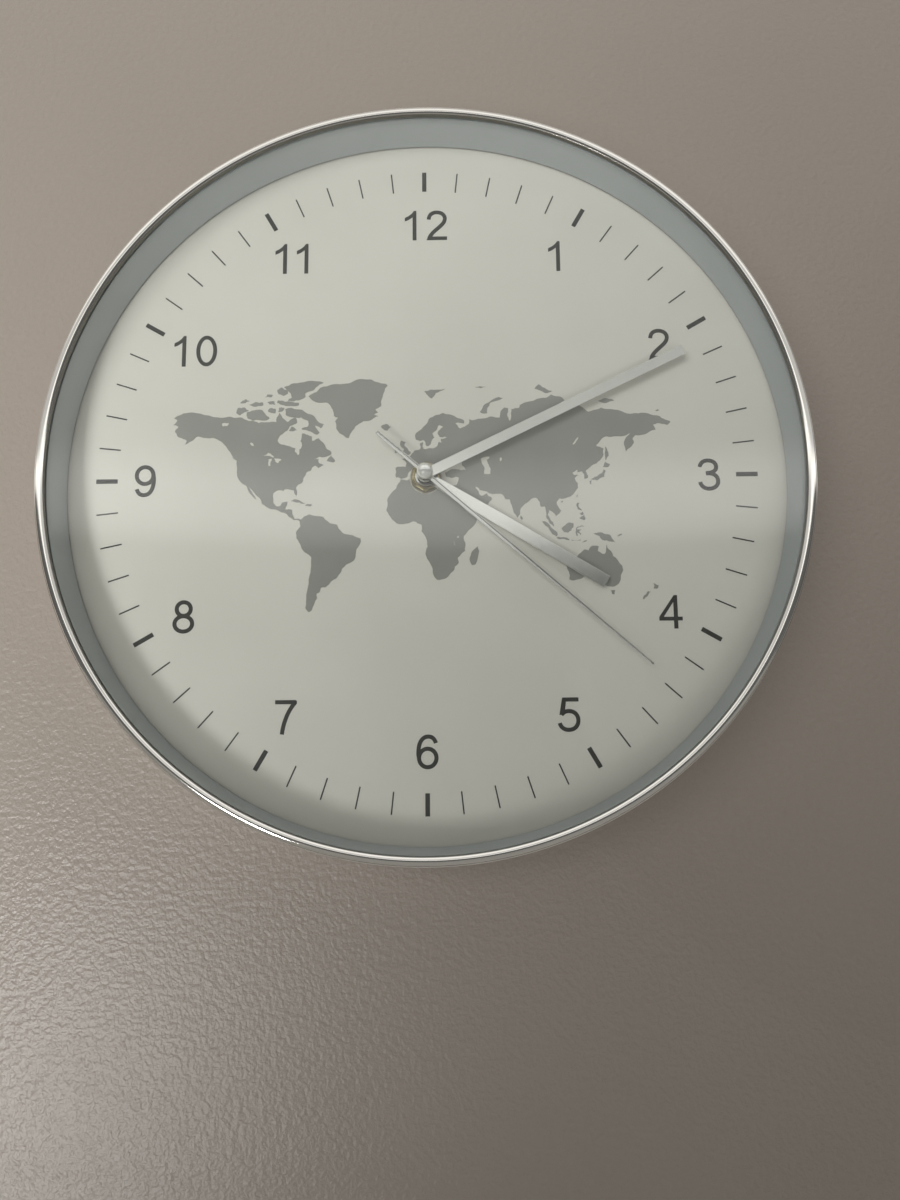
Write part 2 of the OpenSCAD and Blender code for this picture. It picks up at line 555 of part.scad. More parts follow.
     [125, -15.2], [128, -16.1], [129.3, -13.6], [131.2, -12.6], [135.3, -13.4], [134.2, -16.2],
     [137.5, -18.6], [139.4, -18.7], [140.2, -15.2]],
    [[142.4, -42.2], [145.8, -42.2], [145, -44.8], [143.2, -44.6]],
    [[172.8, -38.2], [174, -38.6], [176.6, -39.5], [175, -41.8], [172.8, -41.5], [173.5, -40]],
    [[164.9, -47], [166, -45.4], [168.8, -43], [171, -43.3], [168, -46.2], [165.5, -48]]];

// Lakes and inland seas, cut out of the land
lake_shares = [
    [[-135.8, 67.7], [-133, 67.9], [-130.6, 67.5], [-132, 66.5], [-135, 66.4]],
    [[-115, 58.2], [-113.8, 58.4], [-111.5, 56.2], [-113.7, 56.8]],
    [[-105.3, 51.1], [-101.7, 52.9], [-99.9, 52.4], [-97.2, 50.2], [-99.4, 50.6]],
    [[-101.4, 49.1], [-98.7, 49.4], [-99.8, 47.3], [-99.8, 45.2], [-101.3, 45.2]],
    [[-97.2, 49.8], [-95, 49.6], [-91.8, 48.6], [-93.7, 47.9], [-94.2, 46.6], [-95.7, 47.3]],
    [[-90.2, 47.2], [-88.6, 47.7], [-88.9, 47.2]],
    [[52.1, 47.7], [54.8, 48.9], [58.8, 48.9], [56.6, 47.5], [57.2, 45.2], [59.3, 41.8],
     [59.3, 38.8], [54.4, 38.6], [54.8, 41.8], [53, 45]],
    [[65.8, 48.5], [67.3, 48.5], [66.9, 46.6], [65.8, 46.4]],
    [[118.5, 55.6], [122.3, 59], [123, 59.3], [119.3, 55.2]],
    [[34.4, -5.3], [35.2, -4.5], [36.1, -5.2], [35.2, -6.2]],
    [[32, -8.5], [32.5, -8.5], [33, -11], [32.4, -11]]];

// General helpers

// Point at a distance and angle from the centre
function polar(r, angle) = [r * cos(angle), r * sin(angle)];

// Point a share t of the way along a cubic curve with two guide points
function cubic(a, b, c, d, t) =
    a * pow(1 - t, 3) + b * 3 * t * pow(1 - t, 2) + c * 3 * t * t * (1 - t) + d * pow(t, 3);

module ring(outer_r, inner_r, height) {
    difference() {
        cylinder(h = height, r = outer_r, $fn = smooth);
        translate([0, 0, -overrun])
            cylinder(h = height + 2 * overrun, r = inner_r, $fn = smooth);
    }
}

// Stands the clock up with the keyhole at the origin: the dial faces -Y and the 12 points to +Z
module on_wall() {
    translate([0, hanger_back, -hanger_y]) rotate([90, 0, 0]) children();
}

module lift(height) {
    translate([0, 0, height]) children();
}

module around(count, turn) {
    for (i = [0 : count - 1]) rotate(turn + i * 360 / count) children();
}

// Cross-recess screw, head down, with its shank pointing up
module screw(head_r, head_h, shank_r, shank_len) {
    difference() {
        union() {
            cylinder(h = head_h, r = head_r, $fn = fine);
            cylinder(h = head_h + shank_len, r = shank_r, $fn = fine);
        }
        for (turn = [0, 90]) rotate(turn)
            translate([-head_r * 0.6, -screw_slot_w / 2, -overrun])
                cube([head_r * 1.2, screw_slot_w, overrun + head_h * 0.6]);
    }
}

// Gear helpers

// Involute function of an angle, in degrees
function involute(angle) = tan(angle) * 180 / PI - angle;

// Half of a tooth's angle at radius r, for a gear with pitch radius p
function half_tooth(r, p, teeth) =
    tooth_share * 180 / teeth + involute(pressure_angle)
    - involute(acos(min(1, p * cos(pressure_angle) / r)));

// Outline of a gear: each tooth climbs one flank and comes down the other
function gear_points(teeth, module_size, phase) =
    let (p = teeth * module_size / 2,
         root = p - dedendum_share * module_size,
         tip = p + addendum_share * module_size,
         radii = [for (k = [0 : flank_steps]) root + (tip - root) * k / flank_steps])
    [for (i = [0 : teeth - 1], side = [-1, 1], k = [0 : flank_steps])
        let (r = radii[side < 0 ? k : flank_steps - k])
        polar(r, phase + i * 360 / teeth + side * half_tooth(r, p, teeth))];

// Phase of gear b in mesh with gear a, where b lies in the given direction from a
function mesh_phase(direction, phase_a, teeth_a, teeth_b) =
    direction + 180 + 180 / teeth_b - (phase_a - direction) * teeth_a / teeth_b;

module gear(teeth, module_size, thickness, phase) {
    linear_extrude(height = thickness) polygon(gear_points(teeth, module_size, phase));
}

// Boss on the cover that carries the rear pivot of an arbor
module bearing_boss(arbor_r, height) {
    cylinder(h = height, r = arbor_r + bearing_wall, $fn = fine);
}

// Case

module back_case() {
    color([0.42, 0.44, 0.45]) difference() {
        union() {
            rotate_extrude($fn = smooth) polygon([
                [bush_r + bush_hole_gap, web_back], [pan_inner_r, web_back], [pan_inner_r, 0],
                [side_r, 0], [side_r, flange_h], [pan_r, flange_h], [pan_r, web_front],
                [bush_r + bush_hole_gap, web_front]]);
            around(case_screw_count, case_screw_turn) translate([boss_at_r, 0, 0])
                cylinder(h = web_back + web_t / 2, r = boss_r + boss_gap + pocket_wall, $fn = fine);
            around(rib_count, rib_turn) translate([rib_inner_r, -rib_w / 2, web_back - rib_h])
                cube([pan_inner_r - rib_end_gap - rib_inner_r, rib_w, rib_h + web_t / 2]);
            lift(web_back - rib_h + rib_w) ring(hoop_r + rib_w, hoop_r, rib_h - rib_w + web_t / 2);
            movement_frame();
            hanger_places() lift(hanger_back + hanger_t)
                cylinder(h = web_back - hanger_back - hanger_t + web_t / 2, r = hanger_boss_r,
                    $fn = fine);
        }
        around(case_screw_count, case_screw_turn) translate([boss_at_r, 0, 0]) boss_pocket();
        hanger_places() lift(hanger_back)
            cylinder(h = hanger_head_h + hanger_shank_len + overrun, r = hanger_shank_r + running_gap,
                $fn = fine);
    }
}

// Low square fence that stops the movement from turning
module movement_frame() {
    half_w = movement_w / 2 + frame_gap;
    low = -movement_bottom - frame_gap;
    high = movement_top + frame_gap;
    lift(web_back - frame_h) difference() {
        translate([-half_w - frame_t, low - frame_t, 0])
            cube([2 * (half_w + frame_t), high - low + 2 * frame_t, frame_h + web_t / 2]);
        translate([-half_w, low, -overrun])
            cube([2 * half_w, high - low, frame_h + overrun]);
        lift(-overrun) cylinder(h = frame_h + web_t + 2 * overrun, r = bush_r + bush_hole_gap,
            $fn = smooth);
    }
}

// Space for one rim boss, its rib and its screw, with the floor that the screw clamps
module boss_pocket() {
    half_slot = boss_rib_w / 2 + boss_gap;
    lift(pocket_floor) {
        cylinder(h = web_front - pocket_floor + overrun, r = boss_r + boss_gap, $fn = fine);
        translate([0, -half_slot, 0])
            cube([boss_inset + overrun, 2 * half_slot, web_front - pocket_floor + overrun]);
    }
    lift(-overrun) {
        cylinder(h = screw_sink + overrun, r = screw_head_r + seat_gap, $fn = fine);
        cylinder(h = pocket_floor + 2 * overrun, r = screw_shank_r + seat_gap, $fn = fine);
    }
}

module bezel() {
    boss_low = pocket_floor + boss_gap;
    boss_high = web_front - boss_gap;
    color([0.86, 0.87, 0.88]) difference() {
        union() {
            rotate_extrude($fn = smooth) rim_profile();
            around(case_screw_count, case_screw_turn) lift(boss_low) {
                translate([boss_at_r, 0, 0]) cylinder(h = boss_high - boss_low, r = boss_r, $fn = fine);
                translate([boss_at_r, -boss_rib_w / 2, 0])
                    cube([bore_r + rim_t / 2 - boss_at_r, boss_rib_w, boss_high - boss_low]);
            }
        }
        around(case_screw_count, case_screw_turn) translate([boss_at_r, 0, 0])
            cylinder(h = screw_sink + screw_len + overrun, r = screw_shank_r + running_gap, $fn = fine);
    }
}

// Section of the rim, with the radius along x and the height above the wall along y: a straight side
// wall, and a round bead that bulges out past it and is cut off at the opening and under the glass
module rim_profile() {
    translate([bore_r, flange_h]) square([rim_t, glass_front - flange_h]);
    translate([lip_r, glass_front]) square([side_r - lip_r, lip_t]);
    intersection() {
        translate([clock_r - bead_r, glass_front]) circle(r = bead_r, $fn = fine);
        union() {
            translate([lip_r, glass_front]) square([rim_w + overrun, bead_r + overrun]);
            translate([bore_r, glass_front - bead_r - overrun])
                square([clock_r - bore_r + overrun, bead_r + 2 * overrun]);
        }
    }
}

module case_screws() {
    color([0.55, 0.56, 0.58]) around(case_screw_count, case_screw_turn)
        translate([boss_at_r, 0, screw_sink - screw_head_h])
            screw(screw_head_r, screw_head_h, screw_shank_r, screw_len);
}

module front_glass() {
    color([0.85, 0.92, 0.92, 0.35]) lift(glass_back)
        cylinder(h = glass_t, r = pan_r, $fn = smooth);
}

module glass_gasket() {
    color([0.2, 0.2, 0.21]) lift(ring_top) ring(pan_r, lip_r, gasket_t);
}

// The inner wall leans out towards the glass and starts with a narrow shadow groove at the dial
module spacer_ring() {
    color([0.58, 0.61, 0.61]) rotate_extrude($fn = smooth) polygon([
        [dial_edge_r + shadow_groove, dial_h], [pan_r, dial_h], [pan_r, ring_top],
        [lip_r, ring_top], [dial_edge_r, dial_h + shadow_groove],
        [dial_edge_r + shadow_groove, dial_h + shadow_groove]]);
}

// Dial and its print

module dial_plate() {
    color([0.8, 0.8, 0.77]) lift(web_front) ring(dial_r, bush_r + bush_hole_gap, dial_t);
}

module minute_track() {
    color([0.27, 0.27, 0.27]) lift(dial_h) linear_extrude(height = ink_t)
        for (i = [0 : 59]) rotate(-6 * i) mark(i % 5 == 0 ? hour_mark_w : minute_mark_w);
}

module mark(w) {
    translate([-w / 2, mark_inner_r]) square([w, mark_len]);
}

module hour_numerals() {
    color([0.27, 0.27, 0.27]) lift(dial_h) linear_extrude(height = ink_t)
        for (hour = [1 : 12])
            translate(polar(numeral_ring_r * numeral_place_shares[hour - 1], 90 - 30 * hour))
                numeral(hour);
}

// Width of each figure as a share of its height, for 0 to 9
figure_width_shares = [0.65, 0.37, 0.66, 0.66, 0.69, 0.66, 0.65, 0.64, 0.66, 0.65];

// One figure, or two in cells of equal width; two slim ones stand closer together
module numeral(hour) {
    tens = floor(hour / 10);
    ones = hour % 10;
    half_cell = numeral_h * (tens == ones ? figure_pair_share : figure_cell_share) / 2;
    if (tens > 0) figure_at(tens, -half_cell);
    figure_at(ones, tens > 0 ? half_cell : 0);
}

// Figure around a place along x, where the 1 stands a little to the left
module figure_at(digit, x) {
    shift_share = -figure_width_shares[digit] / 2 - (digit == 1 ? figure_one_share : 0);
    translate([x + numeral_h * shift_share, -numeral_h / 2]) figure(digit);
}

// Line of constant width along a row of points, cut square at both ends
module stroke(points) {
    last = len(points) - 1;
    normals = [for (i = [0 : last])
        let (d = points[min(last, i + 1)] - points[max(0, i - 1)])
        [-d.y, d.x] / norm(d) * numeral_w / 2];
    polygon(concat([for (i = [0 : last]) points[i] + normals[i]],
        [for (i = [last : -1 : 0]) points[i] - normals[i]]));
}

// Points along a chain of cubic curves, whose corner and guide points are shares of the height
function curve(shares) = [for (k = [0 : 3 : len(shares) - 4], t = [0 : 0.125 : k + 4 < len(shares) ? 0.9 : 1])
    numeral_h * cubic(shares[k], shares[k + 1], shares[k + 2], shares[k + 3], t)];

// Closed oval line around a centre, both in shares of the height
module oval(centre_share, half_share) {
    steps = 40;
    line_share = numeral_w / numeral_h / 2;
    difference() {
        polygon([for (i = [0 : steps - 1]) oval_point(centre_share, half_share, line_share, i / steps)]);
        polygon([for (i = [0 : steps - 1]) oval_point(centre_share, half_share, -line_share, i / steps)]);
    }
}

function oval_point(centre_share, half_share, grow_share, t) = numeral_h * (centre_share
    + [(half_share.x + grow_share) * cos(360 * t), (half_share.y + grow_share) * sin(360 * t)]);

// Filled shape from shares of the numeral height
module solid(shares) {
    polygon(numeral_h * shares);
}

module figure(digit) {
    if (digit == 0) oval([0.325, 0.5], [0.264, 0.44]);
    if (digit == 1) solid([[0.246, 0], [0.368, 0], [0.368, 1], [0.29, 1], [0.22, 0.905],
        [0.12, 0.825], [0, 0.765], [0, 0.645], [0.13, 0.7], [0.246, 0.785]]);
    if (digit == 2) two();
    if (digit == 3) {
        stroke(curve([[0.06, 0.74], [0.085, 0.87], [0.18, 0.94], [0.31, 0.94], [0.46, 0.94],
            [0.56, 0.86], [0.56, 0.745], [0.56, 0.62], [0.46, 0.545], [0.24, 0.545]]));
        stroke(curve([[0.24, 0.535], [0.47, 0.56], [0.6, 0.46], [0.6, 0.3], [0.6, 0.16],
            [0.49, 0.06], [0.32, 0.06], [0.18, 0.06], [0.08, 0.14], [0.055, 0.27]]));
    }
    if (digit == 4) {
        solid([[0.43, 0], [0.552, 0], [0.552, 1], [0.452, 1], [0.43, 0.95]]);
        solid([[0, 0.24], [0.69, 0.24], [0.69, 0.355], [0, 0.355]]);
        solid([[0, 0.355], [0.135, 0.355], [0.452, 0.83], [0.452, 1]]);
    }
    if (digit == 5) {
        solid([[0.11, 0.5], [0.21, 0.55], [0.25, 0.88], [0.62, 0.88], [0.62, 1], [0.14, 1],
            [0.05, 0.49]]);
        stroke(curve([[0.11, 0.49], [0.16, 0.57], [0.24, 0.605], [0.33, 0.605], [0.49, 0.605],
            [0.6, 0.49], [0.6, 0.34], [0.6, 0.18], [0.49, 0.06], [0.32, 0.06], [0.18, 0.06],
            [0.08, 0.14], [0.055, 0.26]]));
    }
    if (digit == 6) six();
    if (digit == 7) {
        solid([[0, 0.88], [0.64, 0.88], [0.64, 0.975], [0.6, 1], [0, 1]]);
        stroke(curve([[0.59, 0.93], [0.42, 0.74], [0.26, 0.42], [0.21, 0]]));
    }
    if (digit == 8) {
        oval([0.325, 0.735], [0.21, 0.205]);
        oval([0.325, 0.29], [0.264, 0.23]);
    }
    if (digit == 9) translate([numeral_h * figure_width_shares[6], numeral_h]) rotate(180) six();
}

module two() {
    stroke(curve([[0.075, 0.7], [0.085, 0.86], [0.18, 0.94], [0.33, 0.94], [0.48, 0.94],
        [0.59, 0.85], [0.59, 0.72], [0.59, 0.48], [0.18, 0.34], [0.085, 0.06]]));
    solid([[0, 0], [0.655, 0], [0.655, 0.118], [0.06, 0.118]]);
}

module six() {
    oval([0.335, 0.325], [0.254, 0.265]);
    stroke(curve([[0.575, 0.75], [0.545, 0.87], [0.46, 0.94], [0.36, 0.94], [0.17, 0.94],
        [0.062, 0.77], [0.062, 0.46], [0.062, 0.42], [0.07, 0.38], [0.081, 0.325]]));
}

// Cylindrical chart: the spacing of the parallels grows gently towards the poles
function chart(place) =
    map_w * (map_shift_shares + [place.x / 360, 1.25 / (2 * PI) * ln(tan(45 + 0.4 * place.y))]);

module world_map() {
    color([0.5, 0.5, 0.49]) lift(dial_h) linear_extrude(height = ink_t) difference() {
        union() for (coast = coast_shares) polygon([for (place = coast) chart(place)]);
        for (shore = lake_shares) polygon([for (place = shore) chart(place)]);
        circle(r = washer_r + map_hub_gap, $fn = smooth);
    }
}

// Wall fixing

module hanger_places() {
    for (side = [-1, 1]) translate([side * hanger_screw_x, hanger_screw_y, 0]) children();
}

module hanger_plate() {
    color([0.72, 0.73, 0.74]) lift(hanger_back) linear_extrude(height = hanger_t) difference() {
        translate([-hanger_w / 2, hanger_y - hanger_low]) square([hanger_w, hanger_h]);
        translate([0, hanger_y]) circle(d = keyhole_d, $fn = smooth);
        translate([-keyhole_slot_w / 2, hanger_y]) square([keyhole_slot_w, keyhole_rise]);
        translate([0, hanger_y + keyhole_rise]) circle(d = keyhole_slot_w, $fn = fine);
        hanger_places() circle(r = hanger_shank_r + running_gap, $fn = fine);
    }
}

module hanger_screws() {
    color([0.55, 0.56, 0.58]) hanger_places() lift(hanger_back - hanger_head_h)
        screw(hanger_head_r, hanger_head_h, hanger_shank_r, hanger_shank_len);
}

// Movement case and what clamps it

module movement_case() {
    bay_low = -movement_bottom + shell_t;
    half_w = movement_w / 2 - shell_t;
    color([0.13, 0.13, 0.14]) difference() {
        union() {
            difference() {
                translate([-movement_w / 2, -movement_bottom, wall_gap])
                    cube([movement_w, movement_bottom + movement_top, movement_depth]);
                translate([-half_w, bay_low, wall_gap - overrun])
                    cube([2 * half_w, bay_wall_y - bay_low, movement_depth - shell_t + overrun]);
                translate([-half_w, bay_wall_y + shell_t, wall_gap - overrun])
                    cube([2 * half_w, movement_top - bay_wall_y - 2 * shell_t,
                        movement_depth - shell_t + overrun]);
            }
            case_corners() post(post_r, wall_gap + cover_t);
            place(minute_at) post(minute_post_r, wall_gap + minute_post_lift);
            place(third_at) post(third_arbor_r + bearing_wall, wall_gap + hour_wheel_lift);
            place(knob_at) post(knob_pivot_r + bearing_wall, wall_gap + hour_wheel_lift);
            for (at = bridge_posts) place(at) {
                post(bridge_post_r, wall_gap + bridge_lift + bridge_t);
                post(bridge_peg_r, wall_gap + (at.y > 0 ? stator_lift : bridge_lift));
            }
            board_places() post(board_post_r, wall_gap + board_lift + board_t);
        }
        lift(wall_gap) cylinder(h = movement_depth + overrun, r = bush_r + press_gap, $fn = smooth);
        place(third_at) lift(wall_gap)
            cylinder(h = movement_depth - shell_t, r = third_arbor_r + running_gap, $fn = fine);
        place(knob_at) lift(wall_gap)
            cylinder(h = movement_depth - shell_t, r = knob_pivot_r + running_gap, $fn = fine);
    }
}

module place(at) {
    translate([at.x, at.y, 0]) children();
}

// Post that stands on the inside of the movement's front wall and reaches back to a height
module post(r, from) {
    lift(from) cylinder(h = movement_front - shell_t / 2 - from, r = r, $fn = fine);
}

module case_corners() {
    x = movement_w / 2 - post_inset;
    for (side = [-1, 1], y = [bay_wall_y + post_inset, movement_top - post_inset])
        translate([side * x, y, 0]) children();
}

module board_places() {
    for (y = [board_low + board_w / 3, board_high - board_w / 3])
        translate([board_left + board_w / 2, y, 0]) children();
}

module movement_cover() {
    half_w = movement_w / 2 - shell_t - cover_gap;
    low = bay_wall_y + shell_t + cover_gap;
    high = movement_top - shell_t - cover_gap;
    well_r = knob_r + knob_well_gap;
    color([0.16, 0.16, 0.17]) difference() {
        lift(wall_gap) union() {
            translate([-half_w, low, 0]) cube([2 * half_w, high - low, cover_t]);
            place(knob_at) cylinder(h = knob_well_depth, r = well_r + knob_well_wall, $fn = fine);
            bearing_boss(second_arbor_r, fifth_wheel_lift);
            place(third_at) bearing_boss(third_arbor_r, seconds_wheel_lift);
            place(fifth_at) bearing_boss(fast_arbor_r, fifth_wheel_lift - seat_gap);
            place(rotor_at) bearing_boss(fast_arbor_r, rotor_pinion_lift - seat_gap);
        }
        place(knob_at) {
            lift(wall_gap - overrun)
                cylinder(h = knob_well_depth - knob_well_wall + overrun, r = well_r, $fn = fine);
            cylinder(h = wall_gap + knob_well_depth + overrun, r = knob_stem_r + running_gap, $fn = fine);
        }
        pivot_hole(second_arbor_r, [0, 0]);
        pivot_hole(third_arbor_r, third_at);
        pivot_hole(fast_arbor_r, fifth_at);
        pivot_hole(fast_arbor_r, rotor_at);
    }
}

// Blind hole in the cover for the rear pivot of an arbor
module pivot_hole(arbor_r, at) {
    place(at) lift(wall_gap + cover_t / 2)
        cylinder(h = movement_depth, r = arbor_r + running_gap, $fn = fine);
}

module mounting_bush() {
    color([0.78, 0.64, 0.3]) lift(movement_front - shell_t)
        ring(bush_r, bush_bore_r, nut_top - movement_front + shell_t);
}

module rubber_washer() {
    color([0.1, 0.1, 0.1]) lift(movement_front) ring(rubber_r, bush_r + bush_hole_gap, rubber_t);
}

module brass_washer() {
    color([0.8, 0.66, 0.32]) lift(dial_h) ring(washer_r, bush_r + press_gap, washer_t);
}

// Hexagonal nut with rounded corners, cut by one cone from the front
module hex_nut() {
    corner_r = nut_flats / 2 / cos(30);
    color([0.8, 0.66, 0.32]) lift(nut_base) difference() {
        intersection() {
            rotate(nut_turn) cylinder(h = nut_t, r = corner_r, $fn = 6);
            cylinder(h = nut_t, r1 = corner_r + nut_t, r2 = nut_flats / 2, $fn = smooth);
        }
        lift(-overrun) cylinder(h = nut_t + 2 * overrun, r = bush_r + press_gap, $fn = smooth);
    }
}

// Stepping motor and circuit

module train_bridge() {
    color([0.85, 0.83, 0.76]) lift(wall_gap + bridge_lift) linear_extrude(height = bridge_t)
        difference() {
            polygon([[bridge_step, bridge_low], [bridge_right, bridge_low],
                [bridge_right, bridge_high], [bridge_left, bridge_high],
                [bridge_left, bridge_mid], [bridge_step, bridge_mid]]);
            for (at = bridge_posts) translate(at) circle(r = bridge_peg_r + press_gap, $fn = fine);
            for (at = [fifth_at, rotor_at]) translate(at)
                circle(r = fast_arbor_r + running_gap, $fn = fine);
        }
}

module stator() {
    leg_right = stator_left + stator_leg_w;
    color([0.6, 0.61, 0.62]) lift(wall_gap + stator_lift) linear_extrude(height = stator_t)
        difference() {
            polygon([[stator_left, stator_bar_low], [stator_step, stator_bar_low],
                [stator_step, stator_low], [bridge_right, stator_low], [bridge_right, core_high],
                [stator_right_leg, core_high], [stator_right_leg, stator_bar_high],
                [leg_right, stator_bar_high], [leg_right, core_high], [stator_left, core_high]]);
            translate(rotor_at) circle(r = stator_bore_r, $fn = fine);
            for (at = bridge_posts) if (at.y > 0) translate(at)
                circle(r = bridge_peg_r + press_gap, $fn = fine);
        }
}

module coil_core() {
    color([0.55, 0.56, 0.57]) translate([stator_left, core_low, wall_gap + stator_lift + stator_t])
        cube([bridge_right - stator_left, core_high - core_low, stator_t]);
}

// Places its children on the coil's axis, which runs along x between the stator's legs
module on_coil(from) {
    translate([stator_left + stator_leg_w + bobbin_gap + from, (core_low + core_high) / 2,
        wall_gap + stator_lift + stator_t * 1.5]) rotate([0, 90, 0]) children();
}

coil_len = stator_right_leg - stator_left - stator_leg_w - 2 * bobbin_gap;

module coil_bobbin() {
    core_w = core_high - core_low + bobbin_gap;
    core_t = stator_t + bobbin_gap;
    color([0.9, 0.88, 0.82]) on_coil(0) difference() {
        union() {
            cylinder(h = coil_len, r = bobbin_r, $fn = fine);
            cylinder(h = bobbin_flange_t, r = bobbin_flange_r, $fn = fine);
            lift(coil_len - bobbin_flange_t)
                cylinder(h = bobbin_flange_t, r = bobbin_flange_r, $fn = fine);
        }
        translate([-core_t / 2, -core_w / 2, -overrun])
            cube([core_t, core_w, coil_len + 2 * overrun]);
    }
}

module coil_winding() {
    color([0.72, 0.36, 0.2]) on_coil(bobbin_flange_t)
        ring(coil_r, bobbin_r + press_gap, coil_len - 2 * bobbin_flange_t);
}

module circuit_board() {
    color([0.1, 0.35, 0.2]) translate([board_left, board_low, wall_gap + board_lift])
        cube([board_w, board_high - board_low, board_t]);
}

module quartz_crystal() {
    color([0.75, 0.76, 0.78])
        translate([board_left + board_w / 2, crystal_y, wall_gap + board_lift - crystal_r - press_gap])
            rotate([90, 0, 0]) cylinder(h = crystal_len, r = crystal_r, $fn = fine);
}

// Low dome of resin on the back of the board
module chip_cover() {
    dome_r = (chip_r * chip_r + chip_h * chip_h) / (2 * chip_h);
    color([0.08, 0.08, 0.08])
        translate([board_left + board_w / 2, chip_y, wall_gap + board_lift]) intersection() {
            lift(dome_r - chip_h) sphere(r = dome_r, $fn = fine);
            lift(-chip_h - overrun) cylinder(h = chip_h + overrun, r = chip_r + overrun, $fn = fine);
        }
}

// Battery and terminals; the cell lies along x with its button on the right

cell_y = (bay_wall_y - movement_bottom + shell_t) / 2;
cell_h = movement_front - shell_t - cell_gap - battery_d / 2;
cell_right = movement_w / 2 - shell_t - terminal_t - press_gap;

module battery() {
    r = battery_d / 2;
    body = battery_len - cell_button_h;
    color([0.72, 0.55, 0.25]) translate([cell_right - battery_len, cell_y, cell_h]) rotate([0, 90, 0])
        rotate_extrude($fn = smooth) polygon([
            [0, 0], [r - 2 * cell_edge, 0], [r - 2 * cell_edge, cell_edge / 2], [r - cell_edge, 0],
            [r, cell_edge], [r, body - cell_edge], [r - cell_edge, body],
            [r - 2 * cell_edge, body - cell_edge / 2], [cell_button_r, body - cell_edge / 2],
            [cell_button_r, battery_len], [0, battery_len]]);
}

module battery_contact() {
    color([0.78, 0.78, 0.76])
        translate([movement_w / 2 - shell_t - terminal_t, cell_y - terminal_w / 2,
            wall_gap + terminal_low])
            cube([terminal_t, terminal_w, terminal_high - terminal_low]);
}

// Leaf bent once: one end lies on the wall of the bay and the other presses on the cell
module battery_spring() {
    wall = -movement_w / 2 + shell_t;
    tip = cell_right - battery_len - press_gap;
    low = wall_gap + terminal_low;
    high = wall_gap + terminal_high;
    mid = (low + high) / 2;
    color([0.78, 0.78, 0.76]) translate([0, cell_y + terminal_w / 2, 0]) rotate([90, 0, 0])
        linear_extrude(height = terminal_w) polygon([
            [wall, low], [wall + terminal_t, low], [wall + terminal_t, high - terminal_t],
            [tip - terminal_t, mid + terminal_t], [tip - terminal_t, low + terminal_t],
            [tip, low + terminal_t], [tip, mid + terminal_t], [wall + terminal_t, high],
            [wall, high]]);
}

// Running train, from the rotor to the centre wheel

module arbor(r, from, to) {
    lift(wall_gap + from) cylinder(h = to - from, r = r, $fn = fine);
}

module rotor_pinion() {
    color([0.92, 0.92, 0.9]) place(rotor_at) union() {
        lift(wall_gap + rotor_pinion_lift)
            gear(rotor_teeth, rotor_module, magnet_lift - rotor_pinion_lift - seat_gap, rotor_phase);
        arbor(fast_arbor_r, pivot_lift - seat_gap, bridge_lift + bridge_t);
        arbor(magnet_hub_r, magnet_lift - seat_gap, magnet_lift + magnet_t);
    }
}

module rotor_magnet() {
    color([0.25, 0.25, 0.27]) place(rotor_at) lift(wall_gap + magnet_lift)
        ring(magnet_r, magnet_hub_r + press_gap, magnet_t);
}

module fifth_wheel() {
    color([0.93, 0.9, 0.8]) place(fifth_at) union() {
        lift(wall_gap + fifth_wheel_lift) gear(fifth_teeth, rotor_module, wheel_t, 0);
        lift(wall_gap + fifth_pinion_lift)
            gear(fifth_pinion_teeth, fifth_module, seconds_pinion_lift - fifth_pinion_lift,
                fifth_pinion_phase);
        arbor(fast_arbor_r, pivot_lift - seat_gap, bridge_lift + bridge_t);
        arbor(fast_arbor_r + bearing_wall, fifth_wheel_lift, fifth_pinion_lift);
    }
}

module seconds_wheel() {
    color([0.93, 0.9, 0.8]) difference() {
        union() {
            lift(wall_gap + seconds_wheel_lift) gear(seconds_teeth, fifth_module, wheel_t, 0);
            lift(wall_gap + seconds_wheel_lift + wheel_t / 2)
                gear(seconds_pinion_teeth, third_module,
                    seconds_pinion_lift + seconds_pinion_t - seconds_wheel_lift - wheel_t / 2, 0);
        }
        cylinder(h = movement_front, r = second_arbor_r + press_gap, $fn = fine);
    }
}

// Steel wire that carries the seconds wheel inside and the second hand outside
module seconds_arbor() {
    top = dial_h + second_lift + hand_t + arbor_in_ball;
    color([0.75, 0.76, 0.78]) lift(wall_gap + pivot_lift - seat_gap)
        cylinder(h = top - wall_gap - pivot_lift + seat_gap, r = second_arbor_r, $fn = fine);
}

module third_wheel() {
    color([0.93, 0.9, 0.8]) place(third_at) union() {
        lift(wall_gap + third_wheel_lift) gear(third_teeth, third_module, wheel_t, third_phase);
        lift(wall_gap + third_wheel_lift + wheel_t / 2)
            gear(third_pinion_teeth, centre_module,
                third_pinion_lift + third_pinion_t - third_wheel_lift - wheel_t / 2, 0);
        arbor(third_arbor_r, pivot_lift - seat_gap, movement_depth - shell_t - seat_gap);
    }
}

module centre_wheel() {
    color([0.93, 0.9, 0.8]) lift(wall_gap + centre_wheel_lift) difference() {
        gear(centre_teeth, centre_module, wheel_t, centre_phase);
        lift(-overrun) cylinder(h = wheel_t + 2 * overrun, r = minute_arbor_r + running_gap, $fn = fine);
    }
}

// Ring that presses the centre wheel, so that it slips when the hands are set
module clutch_spring() {
    color([0.78, 0.64, 0.3]) lift(wall_gap + clutch_lift)
        ring(clutch_r, minute_arbor_r + press_gap, clutch_t);
}

// Motion work and hands

